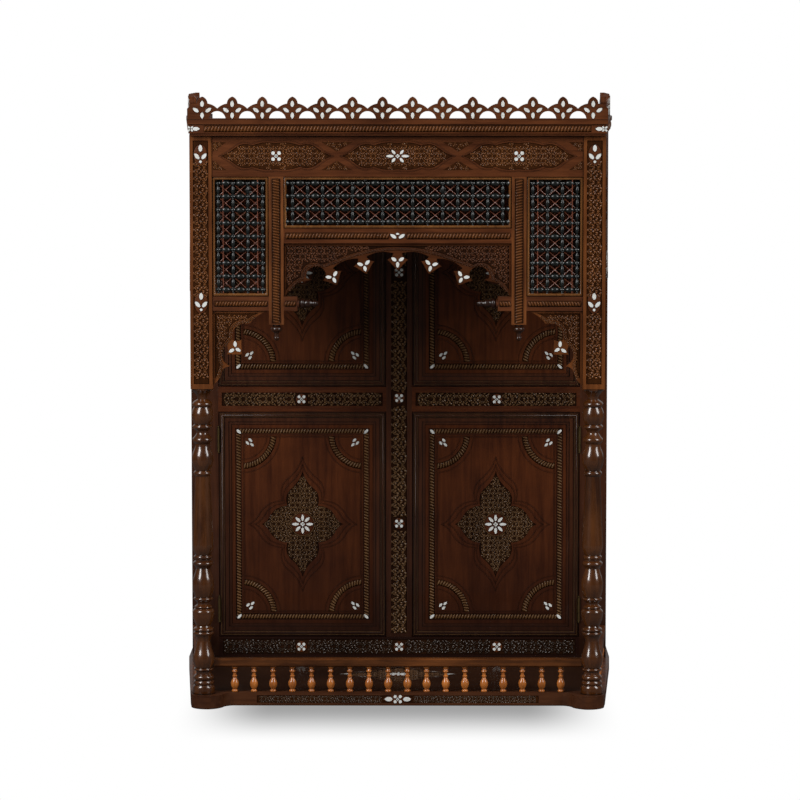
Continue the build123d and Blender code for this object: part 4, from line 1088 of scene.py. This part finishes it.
def frieze_carving():
    """Three cartouches and the carved triangles between them."""
    board = Board(facing_front(FRIEZE_LO.y))
    middle = (FRIEZE_LO.z + FRIEZE_HI.z) / 2
    places, figures = [], []
    for i in (-1, 0, 1):
        u = CARTOUCHE_PITCH * i
        figures.append(figure(CARTOUCHE, 133, 31, u, middle))
        places += foliage(figures[-1], [(u, middle, 17 * MM)], 0.80, 0.30)
        board.pad(u, middle, (14 if i else 21) * MM, 14 * MM)
        board.line(f"cartouche_line_{i + 1}", figure(CARTOUCHE, 138, 35, u, middle), 1.3 * MM, CROSSWISE)
        if i:
            board.quincunx(u, middle, 12.5 * MM)
    for degrees, length in ((0, 19), (180, 19), (50, 13), (130, 13), (230, 13), (310, 13)):
        u, v = turned(0, 0, degrees, 1)
        board.lay(9 * MM * u, middle + 6 * MM * v, length * MM, degrees, 6.5 * MM)
    for degrees in QUARTERS:
        board.lay(0, middle, 5 * MM, degrees, 4.4 * MM)
    painted_shade_ao, fillers = [], []
    for side in (-1, 1):
        top, point = middle + side * 33 * MM, middle + side * 11 * MM
        for i in (-0.5, 0.5):
            u = CARTOUCHE_PITCH * i
            painted_shade_ao.append([(u - 36 * MM, top), (u, point), (u + 36 * MM, top)][::side])
            for x, v in ((-8, 27), (8, 27), (0, 18), (-20, 29.5), (20, 29.5)):
                fillers.append(spot(u + x * MM, middle + side * v * MM, 0, 0.62, x < 0))
        for end in (-1, 1):
            u = end * 441 * MM
            painted_shade_ao.append([(u, top), (u, point), (u - end * 32 * MM, top)][::side * end])
            for x, v in ((6, 26.5), (6, 18), (17, 28.5)):
                fillers.append(spot(u - end * x * MM, middle + side * v * MM, 0, 0.62, end > 0))
    board.painted_shade_sheets("frieze_corners", painted_shade_ao, board.face)
    board.carve("frieze_corner_leaves", SPRIG, fillers, board.face)
    board.painted_shade_sheets("frieze_ground", figures)
    board.carve("frieze_leaves", SPRIG, places)


def arch_edge(half, drop=0):
    """Line above the lobes from right to left; drop sets it lower, into the plain edge."""
    def at(x, up):
        return (x * half / ARCH_HALF, ARCH_LO.z + up)

    crown = [at(x, up) for x, up in arc(0, -ARCH_FOCUS, ARCH_FIELD_R - drop, 66, 114, 12)]
    right = curved([
        (half - ARCH_EDGE, ARCH_LO.z + 14 * MM),
        (at(*mm(246, 36)), at(*mm(232, 44))), (at(*mm(217, 74)), at(*mm(182, 74)))])
    right = shifted(right, -0.7 * drop, -0.7 * drop)
    return right + crown + [(-u, v) for u, v in reversed(right)]


def arch_carving(name, plane, half):
    """Leaves in the spandrels, a row of sprigs over the lobes and shell in the flowers."""
    # Painted shade: the arch's leaves and ground take darker paints than the rest of the carving
    board = Board(plane, relief=ARCH_RELIEF, ground_shade=DOOR_RECESS_SHADE)
    side, top = half - ARCH_EDGE, ARCH_HI.z - ARCH_EDGE
    field = [(-side, top), (side, top)] + arch_edge(half)
    board.painted_shade_sheets(f"{name}_ground", [field])
    board.leaves(f"{name}_leaves", field, (), 0.92, 0.20)
    board.leaf_row(f"{name}_edge", arch_edge(half, 5 * MM))
    for k in range(-2, 3):
        u, v = turned(0, ARCH_LO.z - ARCH_FOCUS, 90 - k * FLOWER_PITCH, FLOWER_R)
        board.three_leaves(u * half / ARCH_HALF, v, -90 - k * FLOWER_PITCH)


def arches():
    arch_carving("arch", facing_front(ARCH_LO.y), ARCH_HALF)
    y = (POST_HI.y + DOOR_FACE) / 2
    x = POST_HI.x + (y - POST_LO.y) * FLARE_RISE
    half = (DOOR_FACE - POST_HI.y) / 2 / math.cos(math.atan(FLARE_RISE))
    for side, sign in SIDES:
        arch_carving(f"side_arch_{side}", flank(sign, (sign * x, y, 0)), half)


def brackets():
    board = Board(facing_front(ARCH_LO.y))
    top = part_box("bracket_right")[1].z
    for side, sign in SIDES:
        def at(inward, down):
            return (sign * (POST_LO.x - inward * MM), top - down * MM)

        edge = curved([at(112, 6), (at(98, 11), at(80, 24)), (at(48, 32), at(40, 62)),
                       at(24, 82), (at(14, 104), at(18, 126)), (at(13, 148), at(6, 164))])
        field = [at(6, 6)] + edge
        board.painted_shade_sheets(f"bracket_ground_{side}", [field])
        board.leaves(f"bracket_leaves_{side}", field, (), 0.85, 0.16)
        board.leaf_row(f"bracket_edge_{side}", shifted(edge[4:-2], -sign * 3.2 * MM, -3.2 * MM))
        board.three_leaves(*at(54, 90), -90 - sign * 62)


# ---- rope bands
def rope_bands():
    board = Board(facing_front(STRIP_LO.y))
    low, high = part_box("rope_rail_right")
    rail_z = (low.z + high.z) / 2
    low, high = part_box("centre_rope_rail")
    centre_z = (low.z + high.z) / 2
    for side, sign in SIDES:
        upright = [(sign * STRIP_X, STRIP_FOOT + 4 * MM), (sign * STRIP_X, FRIEZE_LO.z - 5 * MM)]
        board.rope(f"strip_rope_{side}", [upright], 1.12, sign > 0, 1.7)
        outer = [(sign * (STRIP_HI.x + 4 * MM), rail_z), (sign * (POST_LO.x - 5 * MM), rail_z)]
        inner = [(sign * (RAIL_INNER + 7 * MM), rail_z), (sign * (STRIP_LO.x - 4 * MM), rail_z)]
        board.rope(f"rail_rope_{side}", [outer, inner], 1.15, sign > 0)
    far, near = STRIP_LO.x - 5 * MM, 22 * MM
    halves = [[(start, centre_z), (end, centre_z)] for start, end in ((-far, -near), (near, far))]
    board.rope("centre_rope", halves, 1.29)
    for sign in (-1, 1):
        board.lay(sign * 3 * MM, centre_z - 5 * MM, 17 * MM, 90 - sign * 58, 8 * MM)
    board.lay(0, centre_z + 2.5 * MM, 5 * MM, 90, 8 * MM)


CORNICE_HOLLOW = 3.5 * MM  # the rope lies this far behind the cornice's front edge


def cornice_carving():
    def rope(board, name, start, end, v=0):
        board.rope(name, [[(start, v), (end, v)]], 1.31, reach=1.2)

    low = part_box("cornice_front")[0]
    z = low.z + 16 * MM
    half = POST_HI.x
    front = Board(facing_front(low.y + CORNICE_HOLLOW))
    rope(front, "cornice_rope_front", 36 * MM - half, half - 36 * MM, z)
    x0 = half + 4 * MM - CORNICE_HOLLOW
    x1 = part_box("cornice_side_right")[1].x - CORNICE_HOLLOW
    for side, sign in SIDES:
        front.lay(sign * (half - 9 * MM), z, 17 * MM, 90 + sign * 90, 9.5 * MM)
        for degrees in DIAGONALS:
            front.lay(*turned(sign * (half - 4 * MM), z, degrees, 1.5 * MM), 7.2 * MM, degrees, 4.6 * MM)
        run = Vector((sign * (x1 - x0), DOOR_FACE - low.y, 0))
        middle = (sign * (x0 + x1) / 2, (DOOR_FACE + low.y) / 2, z)
        flared = Board(side_plane(sign, run, middle))
        rope(flared, f"cornice_rope_flank_{side}", 30 * MM - run.length / 2, run.length / 2 - 4 * MM)
        straight = Board(side_plane(sign, (0, 1, 0), (sign * x1, 0, z)))
        rope(straight, f"cornice_rope_body_{side}", DOOR_FACE + 4 * MM, REAR - 4 * MM)


def crest_inlays():
    """Four leaves of shell in every finial of the crest."""
    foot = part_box("cornice_front")[1].z
    low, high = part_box("crest_front")
    runs = [(facing_front(low.y), low.x, high.x, 14)]
    x0 = high.x - 6 * MM
    x1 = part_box("crest_side_right")[1].x
    for side, sign in SIDES:
        run = Vector((sign * (x1 - x0), DOOR_FACE - high.y, 0)).normalized()
        length = (DOOR_FACE - 21 * MM - high.y) / run.y
        runs.append((side_plane(sign, run, (sign * x0, high.y, 0)), 0, length, 8))
        runs.append((side_plane(sign, (0, 1, 0), (sign * x1, DOOR_FACE, 0)), 0, REAR - DOOR_FACE, 4))
    for plane, start, end, count in runs:
        board = Board(plane)
        for i in range(count):
            u = start + (i + 0.5) * (end - start) / count
            board.lay(u, foot + 31 * MM, 15 * MM, 90, 8.8 * MM)
            board.lay(u, foot + 18 * MM, 15 * MM, -90, 8.4 * MM)
            for side in (-1, 1):
                board.lay(u + side * 8.5 * MM, foot + 19 * MM, 16 * MM, 90 - side * 55, 8.4 * MM)


# ---- face frame and doors
STILE_FLOWERS = (1021.5, 700, 377)
RAIL_FLOWERS = ((-251, 58), (0, 58), (251, 58), (-249.5, 697), (249.5, 697))
FOOT_FIELD = (-453, 453, 38, 78)
RAIL_FIELDS = ((-453, 453, 1330.5, 1364.5), (-453, -42, 680, 714), (42, 453, 680, 714))
PANEL_HALF = (172 * MM, 248 * MM)    # from a panel's middle to its rope's outer edge
ROPE_W = 17 * MM
CORNER_ROPE_R = 81 * MM    # rope round a panel's corner, and the lines beside it
CORNER_LINES_R = mm(64, 98)
DOOR_MEDALLION = (105, 137)
DOOR_MEDALLION_LINES = ((123, 155), (139, 174))


def frame_carving():
    board = Board(facing_front(DOOR_FACE), "door_wood")
    stile = rectangle(*mm(-20, 20), STILE_LO.z + 9 * MM, STILE_HI.z - 9 * MM)
    foot = rectangle(*mm(*FOOT_FIELD))
    rails = [rectangle(*mm(*field)) for field in RAIL_FIELDS]
    on_stile = [(0, z * MM) for z in STILE_FLOWERS]
    on_rails = [mm(*flower) for flower in RAIL_FLOWERS]
    bare = clear_of(on_rails, 18)
    board.leaves("stile_leaves", stile, clear_of(on_stile, 18), 1.3, 0.32)
    # The bottom rail's leaves take a darker paint: painted shade
    board.carve("foot_rail_leaves", SPRIG, foliage(foot, bare, 1.15, 0.30), paint=LOW_SHADED_RELIEF)
    board.painted_shade_sheets("frame_ground", [stile, foot] + rails)
    board.carve("rail_leaves", SPRIG, [place for rail in rails for place in foliage(rail, bare, 1.15, 0.30)])
    for u, v in on_stile + on_rails:
        board.quincunx(u, v, 11 * MM)
        board.pad(u, v, 14 * MM)


def panel_corner(board, u, v, aim):
    """Three petals in a corner of a panel, aimed at its middle."""
    for along, across in ((31, 0), (20, 5), (20, -5)):
        place = turned(u, v, aim, along * MM, across * MM)
        board.lay(*place, 11.5 * MM, aim + 0.6 * across, 6.4 * MM)


def door_lines(board, name, cu, cv):
    """Mouldings of one door's frame: a roll, and two thin lighter lines beside it that are painted highlights
    on its edges.
    """
    half_u, half_v = (DOOR_HI.x - DOOR_LO.x) / 2, (DOOR_HI.z - DOOR_LO.z) / 2

    def member(inset, width, height):
        return ridge(boxed(cu, cv, half_u - inset * MM, half_v - inset * MM), *mm(width, height), closed=True)

    plane = facing_front(DOOR_FACE)
    # Painted highlights: two thin lighter lines along the frame's mouldings
    board.add(f"frame_highlight_lines_{name}", [member(4.4, 1.5, 0.7), member(11.8, 1.5, 0.7)], plane, DOOR_RELIEF, 60)
    board.add(f"frame_roll_{name}", [member(8.1, 5.6, 1.9)], plane, FRAME_WOOD, 60)


def door_carving(level, side, sign):
    name = f"{level}_{side}"
    board = Board(facing_front(PANEL_FACE), "door_wood", f"door_{name}")
    low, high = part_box(f"door_panel_{name}")
    cu, cv = sign * (DOOR_LO.x + DOOR_HI.x) / 2, (low.z + high.z) / 2
    half_u, half_v = PANEL_HALF
    in_u, in_v = half_u - ROPE_W, half_v - ROPE_W
    round_panel = boxed(cu, cv, half_u - ROPE_W / 2, half_v - ROPE_W / 2)
    arcs, rims = [], []
    for du, dv, turn in ((-1, -1, 0), (1, -1, 90), (1, 1, 180), (-1, 1, 270)):
        u, v = cu + du * in_u, cv + dv * in_v
        arcs.append(arc(u, v, CORNER_ROPE_R, turn + 3, turn + 87, 12))
        rims += [arc(u, v, radius, turn, turn + 90, 14) for radius in CORNER_LINES_R]
        aim = math.degrees(math.atan2(-dv, -du))
        panel_corner(board, u, v, aim)
        at_u, at_v = cu + du * (half_u - 4 * MM), cv + dv * (half_v - 4 * MM)
        board.lay(at_u, at_v, 15 * MM, aim, 7 * MM, 0.2 * MM)
    board.rope(f"panel_rope_{name}", [round_panel + round_panel[:1]], 1.25, plane=board.ground)
    board.rope(f"panel_arc_rope_{name}", arcs, 1.15, reach=1.35)
    lines = [ridge(rim, 1.6 * MM, 0.9 * MM) for rim in rims]
    for inset in mm(3.5, 6.5):
        lines.append(ridge(boxed(cu, cv, in_u - inset, in_v - inset), 1.2 * MM, 0.7 * MM, closed=True))
    board.add(f"panel_lines_{name}", lines, degrees=60)
    door_lines(board, name, cu, cv)
    medallion = figure(MEDALLION, *DOOR_MEDALLION, cu, cv)
    board.painted_shade_sheets(f"medallion_ground_{name}", [medallion])
    board.leaves(f"medallion_leaves_{name}", medallion, [(cu, cv, 27 * MM)], 0.84, 0.14)
    for w, h in DOOR_MEDALLION_LINES:
        board.line(f"medallion_line_{w}_{name}", figure(MEDALLION, w, h, cu, cv), 1.8 * MM)
    board.pad(cu, cv, 29 * MM)
    board.star(cu, cv, 25 * MM)
    board.line(f"star_ring_{name}", arc(cu, cv, 30 * MM, 0, 345, 23), 1.8 * MM, DOOR_RELIEF)


# ---- platform and deck
DECK_MEDALLION = (137, 111)
DECK_MEDALLION_LINE = (146, 122)


def platform_carving():
    board = Board(facing_front(BASE_FACE), relief=FOOT_RELIEF)
    field = rectangle(*mm(-342, 342, 6, 26))
    z = 16 * MM
    board.painted_shade_sheets("base_ground", [field])
    board.leaves("base_leaves", field, [(0, z, 40 * MM)], 0.68, 0.3)
    board.pad(0, z, 36 * MM, 9 * MM)
    for sign in (-1, 1):
        board.lay(sign * 13 * MM, z, 19 * MM, 90 - sign * 90, 11 * MM)
    board.quincunx(0, z, 11 * MM)


def deck_carving():
    board = Board(Matrix.Translation((0, 0, DECK_TOP)), "deck_wood")
    cv = (BASE_FACE + DOOR_FACE) / 2
    medallion = figure(MEDALLION, *DECK_MEDALLION, 0, cv)
    board.painted_shade_sheets("deck_ground", [medallion])
    board.leaves("deck_leaves", medallion, [(0, cv, 27 * MM)], 0.9, 0.3)
    board.pad(0, cv, 26 * MM)
    board.star(0, cv, 22 * MM)
    for sign in (-1, 1):
        board.lay(sign * 122 * MM, cv, 15 * MM, 90 - sign * 90, 9 * MM)
    board.line("deck_medallion_line", figure(MEDALLION, *DECK_MEDALLION_LINE, 0, cv), 2 * MM, FOOT_RELIEF)


def shell_and_pads():
    """All the inlays of one body as one piece, and the bosses under them as another."""
    for body, places in shell_places.items():
        piece = smooth(copies(PETAL, places, f"shell_{body}"), 35)
        finish(piece, body, "shell_inlay")
    for body, places in pad_places.items():
        piece = smooth(copies(PAD, places, f"bosses_{body}"), 35)
        finish(piece, body, "carved_wood" if body == "cabinet" else "door_wood")


paint_nodes()
columns()
spindles()
lattices()
post_carving()
frieze_carving()
arches()
brackets()
rope_bands()
cornice_carving()
crest_inlays()
frame_carving()
for level in ("lower", "upper"):
    for side, sign in SIDES:
        door_carving(level, side, sign)
platform_carving()
deck_carving()
shell_and_pads()
discard(SPRIG, STRAND, PETAL, PAD)


# ---- camera, light, floor
def camera():
    data = bpy.data.cameras.new("camera")
    data.lens = 166.5
    data.sensor_width = 36
    data.clip_end = 60
    eye = stood("camera", data)
    eye.location = (0.0583, -9.2653, 1.5853)
    eye.rotation_euler = (math.radians(90 - 5.4037), 0, math.radians(0.3407))
    bpy.context.scene.camera = eye


def lamp(name, place, power):
    """A tall softbox aimed at the middle of the cupboard."""
    data = bpy.data.lights.new(name, "AREA")
    data.shape = "RECTANGLE"
    data.size = 1.5
    data.size_y = 3.2
    data.energy = power
    piece = stood(name, data)
    piece.location = place
    aim = Vector((0, 0, 0.75)) - Vector(place)
    piece.rotation_euler = aim.to_track_quat("-Z", "Y").to_euler()


def paper():
    """Floor that is white to the camera, with a painted soft shadow before the base, and dull to all else."""
    bpy.ops.mesh.primitive_plane_add(size=600)
    floor = settle(active("studio_floor"))
    paint, sock = new_paint("studio_paper")
    place = sock.own_place()
    cloud = place.noise(3.0, 2.0, 0.5)
    dull = sock.node("BsdfDiffuse", None, {
        "Color": cloud.mixed(colour(0.10, 0.10, 0.10), colour(0.12, 0.12, 0.12))})
    ahead = place.axis(1)
    across = abs(place.axis(0)).faded(0.54, 0.30)
    # Painted shadow: the floor seen by the camera greys in front of the base
    shade = ahead.faded(-0.88, -0.415) * across * ahead.faded(0.60, -0.40)
    white = sock.node("Emission", None, {"Color": shade.mixed(colour(1, 1, 1), colour(0.36, 0.36, 0.36))})
    seen = sock.node("LightPath", output=0)
    sock.node("OutputMaterial", None, {"Surface": sock.node("MixShader", None, {0: seen, 1: dull, 2: white})})
    floor.data.materials.append(paint)


def sky():
    """White to the camera, dim to the wood, and dark in its reflections but for what is behind."""
    world = bpy.data.worlds.new("studio_world")
    world.use_nodes = True
    world.node_tree.nodes.clear()
    sock = Sock(world.node_tree)

    def glow(strength):
        return sock.node("Background", None, {"Color": colour(1, 1, 1), "Strength": strength})

    def either(share, first, second):
        return sock.node("MixShader", None, {0: share, 1: first, 2: second})

    seen = sock.node("LightPath", output=0)
    mirrored = sock.node("LightPath", output=3)
    behind = sock.node("TexCoord").axis(1).faded(0.40, 0.95)
    reflected = either(behind, glow(0.03), glow(0.35))
    around = either(mirrored, glow(0.21), reflected)
    sock.node("OutputWorld", None, {"Surface": either(seen, around, glow(1.0))})
    bpy.context.scene.world = world


camera()
paper()
sky()
lamp("softbox_left", (-2.95, -3.30, 3.2), 165)
lamp("softbox_right", (3.60, -2.55, 3.2), 115)
bpy.context.scene.view_settings.view_transform = "Standard"
